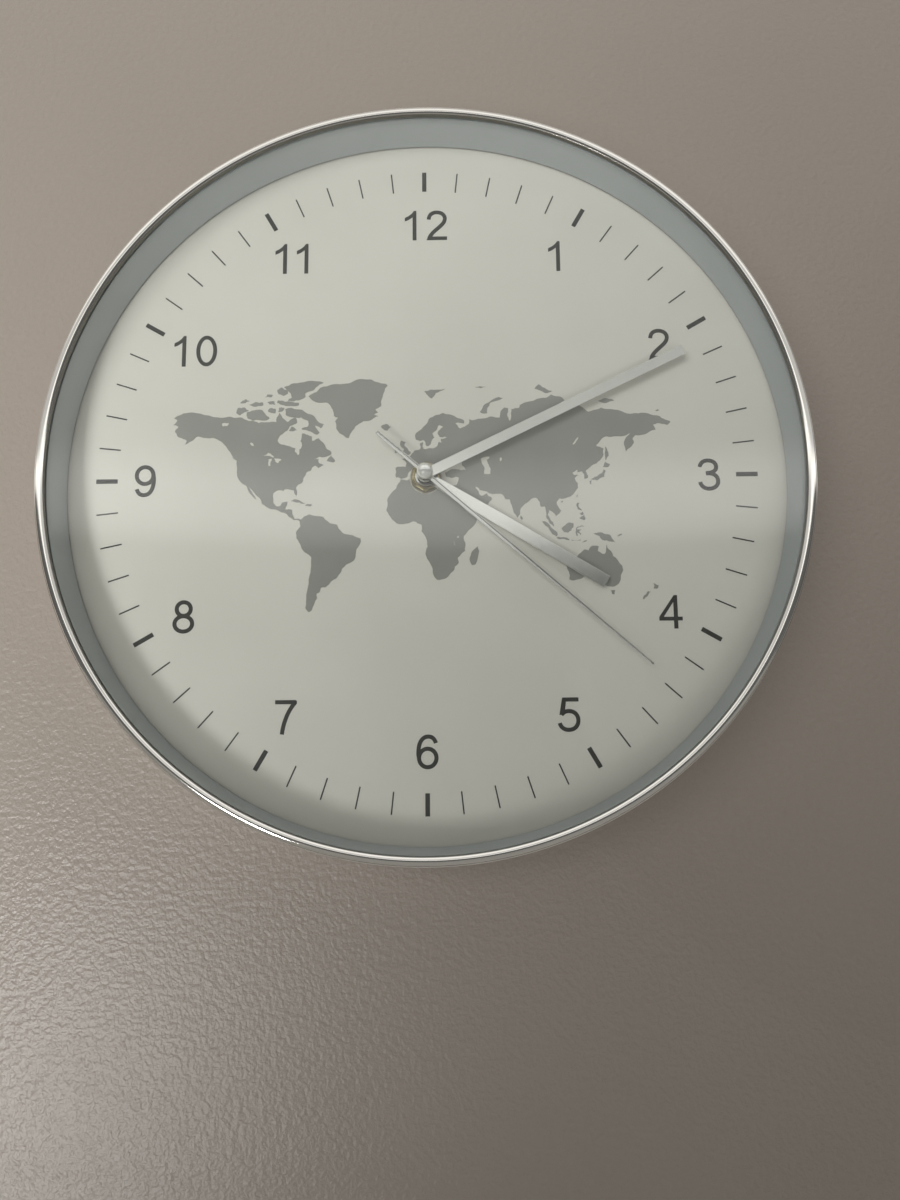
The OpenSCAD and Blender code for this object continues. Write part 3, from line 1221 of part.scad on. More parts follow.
module cannon_pinion() {
    top = dial_h + minute_lift + hand_t + collar_t;
    color([0.93, 0.9, 0.8]) difference() {
        union() {
            arbor(cannon_foot_r, cannon_foot_lift, cannon_foot_lift + cannon_foot_t);
            arbor(minute_arbor_r, cannon_foot_lift, top - wall_gap);
            lift(wall_gap + cannon_pinion_lift) gear(cannon_teeth, motion_module, cannon_pinion_t, 0);
        }
        cylinder(h = top + overrun, r = second_arbor_r + running_gap, $fn = fine);
    }
}

module minute_wheel() {
    color([0.93, 0.9, 0.8]) place(minute_at) difference() {
        union() {
            lift(wall_gap + minute_wheel_lift)
                gear(minute_teeth, motion_module, minute_pinion_lift - minute_wheel_lift, minute_phase);
            lift(wall_gap + minute_pinion_lift - wheel_t / 2)
                gear(minute_pinion_teeth, hour_module,
                    hour_wheel_lift + hour_wheel_t - minute_pinion_lift + wheel_t / 2, 0);
        }
        cylinder(h = movement_front, r = minute_post_r + running_gap, $fn = fine);
    }
}

module hour_wheel() {
    base = wall_gap + hour_wheel_lift;
    top = dial_h + hour_lift + hand_t + collar_t;
    color([0.93, 0.9, 0.8]) difference() {
        union() {
            lift(base) gear(hour_teeth, hour_module, hour_wheel_t, hour_phase);
            lift(base) cylinder(h = top - base, r = hour_arbor_r, $fn = smooth);
        }
        lift(base - overrun) cylinder(h = top - base + 2 * overrun, r = minute_arbor_r + running_gap,
            $fn = smooth);
    }
}

// Thumb wheel on the back, with a stem that reaches up to the motion work
module setting_knob() {
    pinion_top = minute_pinion_lift + seat_gap;
    color([0.2, 0.2, 0.21]) place(knob_at) union() {
        lift(wall_gap + knob_lift) difference() {
            cylinder(h = knob_t, r = knob_r, $fn = fine);
            around(knob_notch_count, 0) translate([knob_r, 0, -overrun])
                cylinder(h = knob_t + 2 * overrun, r = knob_notch_r, $fn = 16);
        }
        arbor(knob_stem_r, knob_lift, cannon_pinion_lift);
        arbor(knob_pivot_r, cannon_pinion_lift, movement_depth - shell_t - seat_gap);
        lift(wall_gap + cannon_pinion_lift)
            gear(knob_teeth, motion_module, pinion_top - cannon_pinion_lift, knob_phase);
    }
}

// Flat hand pointing to the 12: a round hub and a straight-sided blade
module hand(hub_r, hole_r, neck_w, flare, w, length) {
    linear_extrude(height = hand_t) difference() {
        union() {
            circle(r = hub_r, $fn = smooth);
            polygon([[-neck_w / 2, 0], [neck_w / 2, 0], [w / 2, flare], [w / 2, length],
                [-w / 2, length], [-w / 2, flare]]);
        }
        circle(r = hole_r, $fn = fine);
    }
}

module hour_hand() {
    color([0.8, 0.82, 0.83]) lift(dial_h + hour_lift) rotate(-hour_angle)
        hand(hour_hub_r, hour_arbor_r + press_gap, hour_w * hour_neck_share, hour_flare, hour_w,
            hour_len);
}

module hour_collar() {
    color([0.75, 0.76, 0.77]) lift(dial_h + hour_lift + hand_t)
        ring(hour_collar_r, hour_arbor_r + press_gap, collar_t);
}

module minute_hand() {
    color([0.78, 0.79, 0.79]) lift(dial_h + minute_lift) rotate(-minute_angle)
        hand(minute_hub_r, minute_arbor_r + press_gap, minute_w, minute_hub_r, minute_w, minute_len);
}

module minute_collar() {
    color([0.75, 0.76, 0.77]) lift(dial_h + minute_lift + hand_t)
        ring(minute_collar_r, minute_arbor_r + press_gap, collar_t);
}

// Slim needle: widest at the centre and narrowest at its tip
module second_hand() {
    tail_w = second_w * second_tail_share;
    tip_w = second_w * second_tip_share;
    color([0.8, 0.81, 0.82]) lift(dial_h + second_lift) rotate(-second_angle)
        linear_extrude(height = hand_t) difference() {
            union() {
                circle(r = second_hub_r, $fn = fine);
                polygon([[-tail_w / 2, -second_tail], [tail_w / 2, -second_tail], [second_w / 2, 0],
                    [tip_w / 2, second_len], [-tip_w / 2, second_len], [-second_w / 2, 0]]);
            }
            circle(r = second_arbor_r + press_gap, $fn = fine);
        }
}

module second_collar() {
    gap = second_lift - minute_lift - hand_t - collar_t;
    color([0.75, 0.76, 0.77]) lift(dial_h + second_lift - gap / 2)
        ring(second_collar_r, second_arbor_r + press_gap, gap / 2);
}

// Polished ball, cut flat where it sits on the second hand
module ball_cap() {
    seat = dial_h + second_lift + hand_t;
    color([0.9, 0.9, 0.91]) difference() {
        lift(dial_h + ball_lift) sphere(r = ball_r, $fn = smooth);
        lift(seat - ball_d) cylinder(h = ball_d, r = ball_d, $fn = smooth);
        lift(seat - overrun)
            cylinder(h = arbor_in_ball + overrun, r = second_arbor_r + press_gap, $fn = fine);
    }
}

on_wall() back_case();
on_wall() bezel();
on_wall() case_screws();
on_wall() front_glass();
on_wall() glass_gasket();
on_wall() spacer_ring();
on_wall() dial_plate();
on_wall() minute_track();
on_wall() hour_numerals();
on_wall() world_map();
on_wall() hanger_plate();
on_wall() hanger_screws();
on_wall() movement_case();
on_wall() movement_cover();
on_wall() mounting_bush();
on_wall() rubber_washer();
on_wall() brass_washer();
on_wall() hex_nut();
on_wall() train_bridge();
on_wall() stator();
on_wall() coil_core();
on_wall() coil_bobbin();
on_wall() coil_winding();
on_wall() circuit_board();
on_wall() quartz_crystal();
on_wall() chip_cover();
on_wall() battery();
on_wall() battery_spring();
on_wall() battery_contact();
on_wall() rotor_pinion();
on_wall() rotor_magnet();
on_wall() fifth_wheel();
on_wall() seconds_wheel();
on_wall() seconds_arbor();
on_wall() third_wheel();
on_wall() centre_wheel();
on_wall() clutch_spring();
on_wall() cannon_pinion();
on_wall() minute_wheel();
on_wall() hour_wheel();
on_wall() setting_knob();
on_wall() hour_hand();
on_wall() hour_collar();
on_wall() minute_hand();
on_wall() minute_collar();
on_wall() second_hand();
on_wall() second_collar();
on_wall() ball_cap();
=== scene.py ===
# Wall clock with a world map dial: finishes, turned parts, hands, lamps and camera
import math

import bpy
import numpy as np
from mathutils import Matrix, Vector
from mathutils.geometry import delaunay_2d_cdt


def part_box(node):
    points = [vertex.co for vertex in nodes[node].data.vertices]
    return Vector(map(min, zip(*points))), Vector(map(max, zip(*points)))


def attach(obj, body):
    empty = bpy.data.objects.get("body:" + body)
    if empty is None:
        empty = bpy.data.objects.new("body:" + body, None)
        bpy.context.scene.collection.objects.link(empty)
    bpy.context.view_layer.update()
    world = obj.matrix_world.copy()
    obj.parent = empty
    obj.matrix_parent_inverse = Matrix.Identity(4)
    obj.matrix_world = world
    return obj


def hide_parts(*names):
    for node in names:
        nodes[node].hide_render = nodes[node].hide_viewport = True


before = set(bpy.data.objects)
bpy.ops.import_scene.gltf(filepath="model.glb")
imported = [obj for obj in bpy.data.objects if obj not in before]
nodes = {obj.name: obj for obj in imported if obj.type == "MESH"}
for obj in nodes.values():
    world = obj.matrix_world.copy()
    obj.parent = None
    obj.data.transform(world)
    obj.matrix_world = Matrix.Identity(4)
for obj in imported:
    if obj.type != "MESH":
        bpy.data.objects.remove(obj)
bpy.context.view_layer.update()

mm = 0.001
micron = 0.000001
axisZ = -0.107   # the hands' axis below the keyhole
wallY = 0.002    # plane of the wall behind the keyhole plate
print("frame loaded:", len(nodes), "nodes")


# Several values of a piece, by their names
def pick(piece, names):
    return [piece[name] for name in names.split()]


# Rounds the corners of a closed outline. Each corner (x, y, setback) becomes a parabola between the
# two points that lie the setback away from it, with one more point beyond each end to keep flats flat.
def roundedOutline(corners, steps=5, beyond=0.6):
    table = np.array(corners, float)
    tip = table[:, :2]
    setback = table[:, 2:3]
    back = np.roll(tip, 1, 0) - tip
    ahead = np.roll(tip, -1, 0) - tip
    back /= np.linalg.norm(back, axis=1, keepdims=True)
    ahead /= np.linalg.norm(ahead, axis=1, keepdims=True)
    first = tip + back * setback
    last = tip + ahead * setback
    t = np.linspace(0, 1, steps)[None, :, None]
    arc = (1 - t) ** 2 * first[:, None] + 2 * t * (1 - t) * tip[:, None] + t ** 2 * last[:, None]
    before = (first + back * setback * beyond)[:, None]
    after = (last + ahead * setback * beyond)[:, None]
    return np.concatenate([before, arc, after], 1).reshape(-1, 2)


# Points of a circle in the section of a turned part: centre plus radius times (cos a, sin a)
def arcPoints(centre, radius, fromDeg, toDeg, steps):
    a = np.radians(np.linspace(fromDeg, toDeg, steps))
    return np.stack([centre[0] + radius * np.cos(a), centre[1] + radius * np.sin(a)], -1)


# Millimetres across, above the wall and up from the hands' axis, as places in the room:
# x = across, y = wall minus height, z = axis plus up
def inRoom(across, height, up):
    return np.stack(np.broadcast_arrays(across * mm, wallY - height * mm, axisZ + up * mm), -1)


# Turns a flat drawing clockwise: x cos a + y sin a across, and y cos a - x sin a up
def turnFlat(x, y, turnDeg):
    a = math.radians(turnDeg)
    return x * math.cos(a) + y * math.sin(a), y * math.cos(a) - x * math.sin(a)


# Turns a section (radius, height above the wall, both in mm) round an axis that runs into the wall.
# Angle t counts clockwise from the 12: across = r sin t, up = r cos t.
# wave(t, r, h) may change the radius, for flutes, flats and teeth.
def turnedGrid(section, turns, centre=(0, 0), wave=None):
    t = np.linspace(0, 2 * math.pi, turns, endpoint=False)[:, None]
    r = section[None, :, 0]
    h = section[None, :, 1]
    if wave is not None:
        r = wave(t, r, h)
    return inRoom(centre[0] + r * np.sin(t), h, centre[1] + r * np.cos(t))


# Faces of a grid whose rows close into rings: point (i, j) is number i times count plus j. The section
# closes too, or each of its ends is a pole that shrinks to one point and is filled with triangles.
def ringFaces(turns, count, poles):
    i = np.arange(turns)[:, None]
    j = np.arange(count - 1 if poles else count)[None]
    nextI = (i + 1) % turns
    nextJ = (j + 1) % count
    quads = np.stack([i * count + j, i * count + nextJ, nextI * count + nextJ, nextI * count + j], -1)
    faces = quads.reshape(-1, 4).tolist()
    if poles:
        here = i[:, 0] * count
        after = nextI[:, 0] * count
        faces += np.stack([here, after, np.full(turns, turns * count)], -1).tolist()
        ends = [after + count - 1, here + count - 1, np.full(turns, turns * count + 1)]
        faces += np.stack(ends, -1).tolist()
    return faces


# A grid as a closed shell. A pole is the mean of its end's ring.
def gridShell(grid, poles=True):
    verts = grid.reshape(-1, 3)
    if poles:
        verts = np.concatenate([verts, grid[:, :1].mean(0), grid[:, -1:].mean(0)])
    return verts, ringFaces(grid.shape[0], grid.shape[1], poles)


# A turned section as a closed shell
def turnedShell(section, turns, poles=False, **places):
    return gridShell(turnedGrid(section, turns, **places), poles)


# A new object in the scene
def sceneObject(name, data):
    made = bpy.data.objects.new(name, data)
    bpy.context.scene.collection.objects.link(made)
    return made


# One object from several closed shells. A shell whose faces look inwards has a negative volume (sum of
# the triangle products a . b x c) and is turned round. uvOf(points) gives the UV map of a hand.
def shellObject(name, shells, material, body, node, uvOf=None):
    allVerts, allFaces, start = [], [], 0
    for verts, faces in shells:
        tris = np.array([(f[0], f[k], f[k + 1]) for f in faces for k in range(1, len(f) - 1)])
        a, b, c = (verts[tris[:, k]] - verts.mean(0) for k in range(3))
        if np.einsum("ij,ij->i", a, np.cross(b, c)).sum() < 0:
            faces = [f[::-1] for f in faces]
        allVerts.append(verts)
        allFaces += [[v + start for v in f] for f in faces]
        start += len(verts)
    verts = np.concatenate(allVerts)
    mesh = bpy.data.meshes.new(name)
    mesh.from_pydata(verts.tolist(), [], allFaces)
    mesh.polygons.foreach_set("use_smooth", np.ones(len(mesh.polygons), bool))
    if uvOf is not None:
        layer = mesh.uv_layers.new(name="along")
        corner = np.empty(len(mesh.loops), np.int32)
        mesh.loops.foreach_get("vertex_index", corner)
        layer.data.foreach_set("uv", uvOf(verts[corner]).astype(np.float32).ravel())
    mesh.materials.append(material)
    mesh.update()
    piece = sceneObject(name, mesh)
    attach(piece, body)
    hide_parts(node)
    return piece


# Starts a shader node group. An input is (name, kind, default), an output (name, kind).
def startGroup(name, inputs, outputs):
    group = bpy.data.node_groups.new(name, "ShaderNodeTree")
    for label, kind, default in inputs:
        socket = group.interface.new_socket(label, in_out="INPUT", socket_type="NodeSocket" + kind)
        socket.default_value = default
    for label, kind in outputs:
        group.interface.new_socket(label, in_out="OUTPUT", socket_type="NodeSocket" + kind)
    return group, group.nodes.new("NodeGroupInput"), group.nodes.new("NodeGroupOutput")


# Puts a number or a colour on a socket, or links an output to it
def feed(tree, socket, value):
    if isinstance(value, (int, float, tuple)):
        socket.default_value = value
    else:
        tree.links.new(value, socket)


# Feeds sockets by name, with an underscore for each space
def setSockets(tree, node, values):
    for key, value in values.items():
        feed(tree, node.inputs[key.replace("_", " ")], value)


# A shader node: settings are its own properties, values its sockets
def addNode(tree, kind, settings=None, **values):
    node = tree.nodes.new("ShaderNode" + kind)
    for key, value in (settings or {}).items():
        setattr(node, key, value)
    setSockets(tree, node, values)
    return node


# Object coordinates of the piece
def objectPlace(tree):
    return addNode(tree, "TexCoord").outputs["Object"]


# Noise read at a vector
def noiseNode(tree, vector, scale, detail=4.0, roughness=0.55):
    noise = addNode(tree, "TexNoise", Vector=vector, Scale=scale, Detail=detail, Roughness=roughness)
    return noise.outputs["Fac"]


# One step of arithmetic on numbers or outputs, or on vectors with the kind VectorMath
def mathNode(tree, operation, *terms, kind="Math"):
    node = addNode(tree, kind, {"operation": operation})
    for socket, term in zip(node.inputs, terms):
        feed(tree, socket, term)
    return node.outputs[0]


# Two colours or two numbers, mixed: the first where the factor is 0 and the second where it is 1
def mixNode(tree, kind, factor, first, second):
    mix = addNode(tree, "Mix", {"data_type": kind})
    for label, value in (("Factor", factor), ("A", first), ("B", second)):
        feed(tree, mix.inputs[label], value)
    return mix.outputs["Result"]


# x, y and z of a vector
def splitVector(tree, vector):
    return addNode(tree, "SeparateXYZ", Vector=vector).outputs


# Two noises added by their shares. The middle of the sum, reach to each side of a half, becomes 0 to 1.
def blendNoises(tree, first, second, firstShare, reach):
    parts = [mathNode(tree, "MULTIPLY", noise, share)
             for noise, share in ((first, firstShare), (second, 1 - firstShare))]
    spread = addNode(tree, "MapRange", Value=mathNode(tree, "ADD", *parts), From_Min=0.5 - reach,
                     From_Max=0.5 + reach)
    return spread.outputs["Result"]


toneSockets = [("Tone A", "Color", (0.5, 0.5, 0.5, 1)), ("Tone B", "Color", (0.6, 0.6, 0.6, 1)),
               ("Rough A", "Float", 0.4), ("Rough B", "Float", 0.6)]
finishOutputs = [("Color", "Color"), ("Roughness", "Float"), ("Height", "Float")]


# Ends a finish group: the colour runs from tone A to tone B by the shade, the roughness by the dullness
def endFinish(group, source, sink, shade, dullness, height):
    rows = [("Color", "RGBA", "Tone", shade), ("Roughness", "FLOAT", "Rough", dullness)]
    for label, kind, pair, factor in rows:
        ends = [source.outputs[pair + end] for end in (" A", " B")]
        group.links.new(mixNode(group, kind, factor, *ends), sink.inputs[label])
    group.links.new(height, sink.inputs["Height"])


# Cloudy shade and a fine skin: a coarse and a fine noise are added for the colour. The roughness follows
# the coarse noise and the height the fine one.
def makeSkinGroup():
    sizes = [("Patch Size", "Float", 60.0), ("Grain Size", "Float", 1500.0)]
    group, source, sink = startGroup("mouldedSkin", toneSockets + sizes, finishOutputs)
    place = objectPlace(group)
    patch = noiseNode(group, place, source.outputs["Patch Size"], 3.0)
    grain = noiseNode(group, place, source.outputs["Grain Size"], 2.0)
    endFinish(group, source, sink, blendNoises(group, patch, grain, 0.65, 0.14), patch, grain)
    return group


# Marks of a polishing or brushing tool: noise squeezed across the marks and drawn out along them, with
# soft hand smears on top. Stretch holds the density along x, y and z.
def makeStrokeGroup():
    place = [("Vector", "Vector", (0, 0, 0)), ("Stretch", "Vector", (2000, 2000, 20))]
    group, source, sink = startGroup("toolMarks", place + toneSockets, finishOutputs)
    pull = mathNode(group, "MULTIPLY", source.outputs["Vector"], source.outputs["Stretch"], kind="VectorMath")
    marks = noiseNode(group, pull, 1.0, 3.0, 0.6)
    smear = noiseNode(group, objectPlace(group), 45.0, 3.0)
    shade = blendNoises(group, marks, smear, 0.6, 0.15)
    endFinish(group, source, sink, shade, shade, marks)
    return group


# Polar coordinates of a turned part, so that its marks run round it: (radius, 0.01 x angle, depth), with
# radius = root of x squared plus z squared
def makeRoundGroup():
    centre = [("Centre", "Vector", (0, 0, axisZ))]
    group, source, sink = startGroup("roundThePart", centre, [("Vector", "Vector")])
    shift = mathNode(group, "SUBTRACT", objectPlace(group), source.outputs["Centre"], kind="VectorMath")
    x, y, z = splitVector(group, shift)
    squares = [mathNode(group, "MULTIPLY", v, v) for v in (x, z)]
    radius = mathNode(group, "SQRT", mathNode(group, "ADD", *squares))
    angle = mathNode(group, "MULTIPLY", mathNode(group, "ARCTAN2", x, z), 0.01)
    join = addNode(group, "CombineXYZ", X=radius, Y=angle, Z=y)
    group.links.new(join.outputs[0], sink.inputs["Vector"])
    return group


skinGroup = makeSkinGroup()
strokeGroup = makeStrokeGroup()
roundGroup = makeRoundGroup()


# Places a shader group in a material with its own values
def groupNode(tree, group, **values):
    node = tree.nodes.new("ShaderNodeGroup")
    node.node_tree = group
    setSockets(tree, node, values)
    return node


# A solid colour: red, green, blue and full cover
def rgb(r, g, b):
    return (r, g, b, 1)


# A new material, its node tree and its shader, with the values that are the same all over
def startMaterial(name, **values):
    material = bpy.data.materials.new(name)
    material.use_nodes = True
    shader = material.node_tree.nodes["Principled BSDF"]
    setSockets(material.node_tree, shader, values)
    return material, material.node_tree, shader


# Bumps a shader by a height, over a depth in micrometres
def bumpInto(tree, shader, height, depth):
    bump = addNode(tree, "Bump", Height=height, Distance=depth * micron, Strength=1.0)
    tree.links.new(bump.outputs["Normal"], shader.inputs["Normal"])


# Leads a finish group's colour, roughness and height into a shader
def wire(tree, shader, detail, depth):
    tree.links.new(detail.outputs["Color"], shader.inputs["Base Color"])
    tree.links.new(detail.outputs["Roughness"], shader.inputs["Roughness"])
    bumpInto(tree, shader, detail.outputs["Height"], depth)


# Values that both finish groups share
def tones(low, high, rough):
    return {"Tone_A": rgb(*low), "Tone_B": rgb(*high), "Rough_A": rough[0], "Rough_B": rough[1]}


# Plastic, paper, rubber and ink: a moulded or printed skin
def skinMaterial(name, low, high, rough, patch, grain, depth, **values):
    material, tree, shader = startMaterial(name, **values)
    detail = groupNode(tree, skinGroup, Patch_Size=patch, Grain_Size=grain, **tones(low, high, rough))
    wire(tree, shader, detail, depth)
    return material


# Places along x, y and z, round a turned part, or along a hand's own length
def placeNode(tree, way):
    if way == "round":
        return groupNode(tree, roundGroup).outputs["Vector"]
    if way == "along":
        return addNode(tree, "UVMap", {"uv_map": "along"}).outputs["UV"]
    return objectPlace(tree)


# Metal with tool marks, drawn out by the stretch
def metalMaterial(name, low, high, rough, stretch, depth, way="object", metallic=1.0):
    material, tree, shader = startMaterial(name, Metallic=metallic)
    detail = groupNode(tree, strokeGroup, Vector=placeNode(tree, way), Stretch=stretch,
                       **tones(low, high, rough))
    wire(tree, shader, detail, depth)
    return material


# Mask that runs softly from 0 to 1 between two values of one axis of a vector
def axisMask(tree, vector, axis, start, end):
    ramp = addNode(tree, "MapRange", {"interpolation_type": "SMOOTHSTEP"},
                   Value=splitVector(tree, vector)[axis], From_Min=start, From_Max=end)
    return ramp.outputs["Result"]


# Sends one of two shaders to a material's surface: the second one where the mask is 1
def chooseShader(tree, mask, first, second):
    mix = addNode(tree, "MixShader")
    tree.links.new(mask, mix.inputs["Fac"])
    tree.links.new(first.outputs[0], mix.inputs[1])
    tree.links.new(second.outputs[0], mix.inputs[2])
    tree.links.new(mix.outputs[0], tree.nodes["Material Output"].inputs["Surface"])


# Painted shade, in metres: a dull dark tone stands in for the shade and dark reflection on the rim's inner
# lip, by its radius, and for the shade in the groove at the foot of the spacer ring, by its depth
lipPaintedShade = {"place": "round", "axis": 0, "start": 0.1464, "end": 0.14623, "tone": (0.34, 0.33, 0.3),
            "rough": 0.55}
groovePaintedShade = {"place": "object", "axis": 1, "start": wallY - 0.02102, "end": wallY - 0.02088,
              "tone": (0.05, 0.05, 0.045), "rough": 0.8}


# Paints shade over a finish as a dull dark tone: none at the start of the stretch along the axis, all of it
# at the end
def paintShade(material, place, axis, start, end, tone, rough):
    tree = material.node_tree
    shader = tree.nodes["Principled BSDF"]
    mask = axisMask(tree, placeNode(tree, place), axis, start, end)
    for label, value, kind in (("Base Color", rgb(*tone), "RGBA"), ("Roughness", rough, "FLOAT")):
        finished = shader.inputs[label].links[0].from_socket
        tree.links.new(mixNode(tree, kind, mask, finished, value), shader.inputs[label])


glassLook = {"smear": 28.0, "film": 0.035, "thin": (0.965, 0.985, 0.98), "thick": (0.985, 0.995, 0.99),
             "shadow": (0.965, 0.975, 0.972)}


# Clear glass with a thin smeared film. A shadow ray passes straight through it to the dial.
def glassMaterial():
    material, tree, shader = startMaterial("clearGlass", Transmission_Weight=1.0, IOR=1.48)
    smear = noiseNode(tree, objectPlace(tree), glassLook["smear"], 3.0)
    film = addNode(tree, "MapRange", Value=smear, From_Min=0.45, From_Max=0.75, To_Min=0.0,
                   To_Max=glassLook["film"])
    tint = mixNode(tree, "RGBA", smear, rgb(*glassLook["thin"]), rgb(*glassLook["thick"]))
    setSockets(tree, shader, {"Roughness": film.outputs["Result"], "Base Color": tint})
    through = addNode(tree, "BsdfTransparent", Color=rgb(*glassLook["shadow"]))
    chooseShader(tree, addNode(tree, "LightPath").outputs["Is Shadow Ray"], shader, through)
    return material


# Skins: two tones, two roughnesses, density of the patches and of the grain, grain's depth in micrometres
skins = {
    "dialPaper": ((0.61, 0.592, 0.538), (0.652, 0.634, 0.58), (0.62, 0.74), 14, 3200, 6),
    "darkInk": ((0.03, 0.03, 0.027), (0.044, 0.044, 0.039), (0.42, 0.6), 400, 5200, 4),
    "mapInk": ((0.25, 0.25, 0.228), (0.274, 0.274, 0.25), (0.45, 0.62), 45, 5200, 4),
    "ringPlastic": ((0.445, 0.475, 0.482), (0.475, 0.503, 0.51), (0.5, 0.62), 25, 2600, 10),
    "panPlastic": ((0.19, 0.2, 0.205), (0.225, 0.235, 0.24), (0.45, 0.6), 30, 2200, 30),
    "movementBlack": ((0.018, 0.018, 0.02), (0.03, 0.03, 0.033), (0.38, 0.55), 90, 3000, 30),
    "knobBlack": ((0.022, 0.022, 0.024), (0.036, 0.036, 0.04), (0.3, 0.45), 200, 3500, 10),
    "rubber": ((0.02, 0.02, 0.02), (0.035, 0.034, 0.033), (0.7, 0.85), 200, 2500, 20),
    "foam": ((0.44, 0.46, 0.46), (0.5, 0.52, 0.52), (0.85, 0.95), 300, 4200, 80),
    "acetal": ((0.78, 0.74, 0.62), (0.86, 0.82, 0.71), (0.32, 0.45), 220, 3500, 6),
    "board": ((0.02, 0.11, 0.05), (0.03, 0.15, 0.07), (0.25, 0.4), 300, 2600, 20),
    "resin": ((0.012, 0.012, 0.012), (0.022, 0.022, 0.023), (0.2, 0.32), 300, 1800, 30),
}
# What two of the skins have besides: light that soaks in, and a coat of lacquer
besides = {"acetal": {"Subsurface_Weight": 0.15, "Subsurface_Scale": 0.001}, "board": {"Coat_Weight": 0.4}}

# Metals: two tones, two roughnesses, stretch of the tool marks, their depth in micrometres, and their way
# and share of metal where these aren't along x, y, z and 1
metals = {
    "rimChrome": ((0.87, 0.855, 0.815), (0.92, 0.905, 0.865), (0.035, 0.1), (2600, 60, 2600), 0.6, "round"),
    "handMetal": ((0.75, 0.75, 0.715), (0.79, 0.79, 0.755), (0.13, 0.18), (4200, 90, 1), 0.6, "along"),
    # The collars' dark tones are painted shade: they stand in for the shade and dark reflection under the
    # ball cap
    "collarMetalPaintedShade": ((0.13, 0.12, 0.12), (0.2, 0.185, 0.185), (0.2, 0.32), (5200, 90, 5200), 2, "round"),
    "ballChrome": ((0.93, 0.93, 0.9), (0.97, 0.97, 0.94), (0.08, 0.14), (3000, 300, 3000), 0.4, "round",
                   0.72),
    "brass": ((0.4, 0.34, 0.18), (0.54, 0.47, 0.27), (0.16, 0.3), (6000, 120, 6000), 3, "round"),
    "washerNickel": ((0.42, 0.4, 0.33), (0.54, 0.52, 0.44), (0.3, 0.42), (6000, 120, 6000), 3, "round"),
    "copperWire": ((0.42, 0.15, 0.07), (0.62, 0.25, 0.12), (0.25, 0.4), (9000, 300, 300), 40),
    "zinc": ((0.5, 0.52, 0.54), (0.68, 0.69, 0.7), (0.28, 0.45), (160, 900, 160), 8),
    "platedPlate": ((0.58, 0.59, 0.6), (0.72, 0.73, 0.74), (0.25, 0.4), (1800, 400, 60), 6),
    "softIron": ((0.36, 0.37, 0.38), (0.5, 0.51, 0.52), (0.35, 0.5), (900, 900, 120), 6),
    "magnet": ((0.07, 0.07, 0.078), (0.13, 0.13, 0.14), (0.4, 0.55), (1500, 1500, 1500), 20),
    "spring": ((0.62, 0.6, 0.55), (0.76, 0.74, 0.69), (0.2, 0.34), (90, 2600, 2600), 4),
}

finish = {name: skinMaterial(name, *values, **besides.get(name, {})) for name, values in skins.items()}
finish.update({name: metalMaterial(name, *values) for name, values in metals.items()})
finish["glass"] = glassMaterial()
# Painted shade: the rim's inner lip gets a dull dark tone in place of the mirror's bright reflection
paintShade(finish["rimChrome"], **lipPaintedShade)
# Painted shade: the groove at the foot of the spacer ring is darkened
paintShade(finish["ringPlastic"], **groovePaintedShade)

# The CAD nodes that wear each finish
wearers = {
    "panPlastic": ["back_case"], "foam": ["glass_gasket"], "glass": ["front_glass"],
    "dialPaper": ["dial_plate"], "darkInk": ["minute_track", "hour_numerals"], "mapInk": ["world_map"],
    "platedPlate": ["hanger_plate"], "zinc": ["case_screws", "hanger_screws"],
    "movementBlack": ["movement_case", "movement_cover"], "brass": ["mounting_bush", "clutch_spring"],
    "rubber": ["rubber_washer"], "washerNickel": ["brass_washer"],
    "softIron": ["stator", "coil_core"], "copperWire": ["coil_winding"], "magnet": ["rotor_magnet"],
    "board": ["circuit_board"], "resin": ["chip_cover"],
    "spring": ["quartz_crystal", "battery_spring", "battery_contact", "seconds_arbor"],
    "collarMetalPaintedShade": ["hour_collar", "minute_collar", "second_collar"],
    "acetal": ["train_bridge", "coil_bobbin", "rotor_pinion", "fifth_wheel", "seconds_wheel", "third_wheel",
               "centre_wheel", "cannon_pinion", "minute_wheel", "hour_wheel"],
}
for finishName, nodeNames in wearers.items():
    for nodeName in nodeNames:
        for holder in nodes[nodeName].material_slots:
            holder.material = finish[finishName]
print("materials:", len(finish))


# Rim, in mm: a straight side wall with a round bead on it, cut off at the opening. An edge is rounded
# through three distances from its corner.
rim = {"beadAt": (147.695, 38.9), "bead": 2.297, "lipDeg": 128.0, "wallDeg": -52.5, "lip": 146.2,
       "lipRise": (0.02, 0.2, 1.6), "lipBend": (0.02, 1.72), "side": 149.0, "sideBend": (0.03, 1.94),
       "sideDrop": (2.1, 2.5), "sideMiddle": 21.0, "bore": 147.5, "foot": 3.0, "edge": (0.06, 0.22, 0.5),
       "shelfEdge": 0.04, "lipFlat": 0.3, "turns": 720}


# Section of the rim: up the lip, round the bead, down the side wall, under the foot and up the bore
def rimSection():
    lip, side, bore, foot = pick(rim, "lip side bore foot")
    shelf = rim["beadAt"][1]
    near, far, flat = rim["edge"]
    inner = [[lip, shelf + rise] for rise in rim["lipRise"]]
    inner += [[lip + rim["lipBend"][0], shelf + rim["lipBend"][1]]]
    bead = arcPoints(rim["beadAt"], rim["bead"], rim["lipDeg"], rim["wallDeg"], 72)
    outer = [[side + rim["sideBend"][0], shelf - rim["sideBend"][1]]]
    outer += [[side, shelf - drop] for drop in rim["sideDrop"]]
    outer += [[side, rim["sideMiddle"]], [side, foot + flat], [side, foot + far], [side - near, foot + near],
              [side - far, foot], [bore + far, foot], [bore + near, foot + near], [bore, foot + far],
              [bore, foot + flat], [bore, shelf - flat], [bore, shelf - rim["shelfEdge"]],
              [bore - near, shelf], [lip + rim["lipFlat"], shelf], [lip + near, shelf]]
    return np.concatenate([inner, bead, outer])


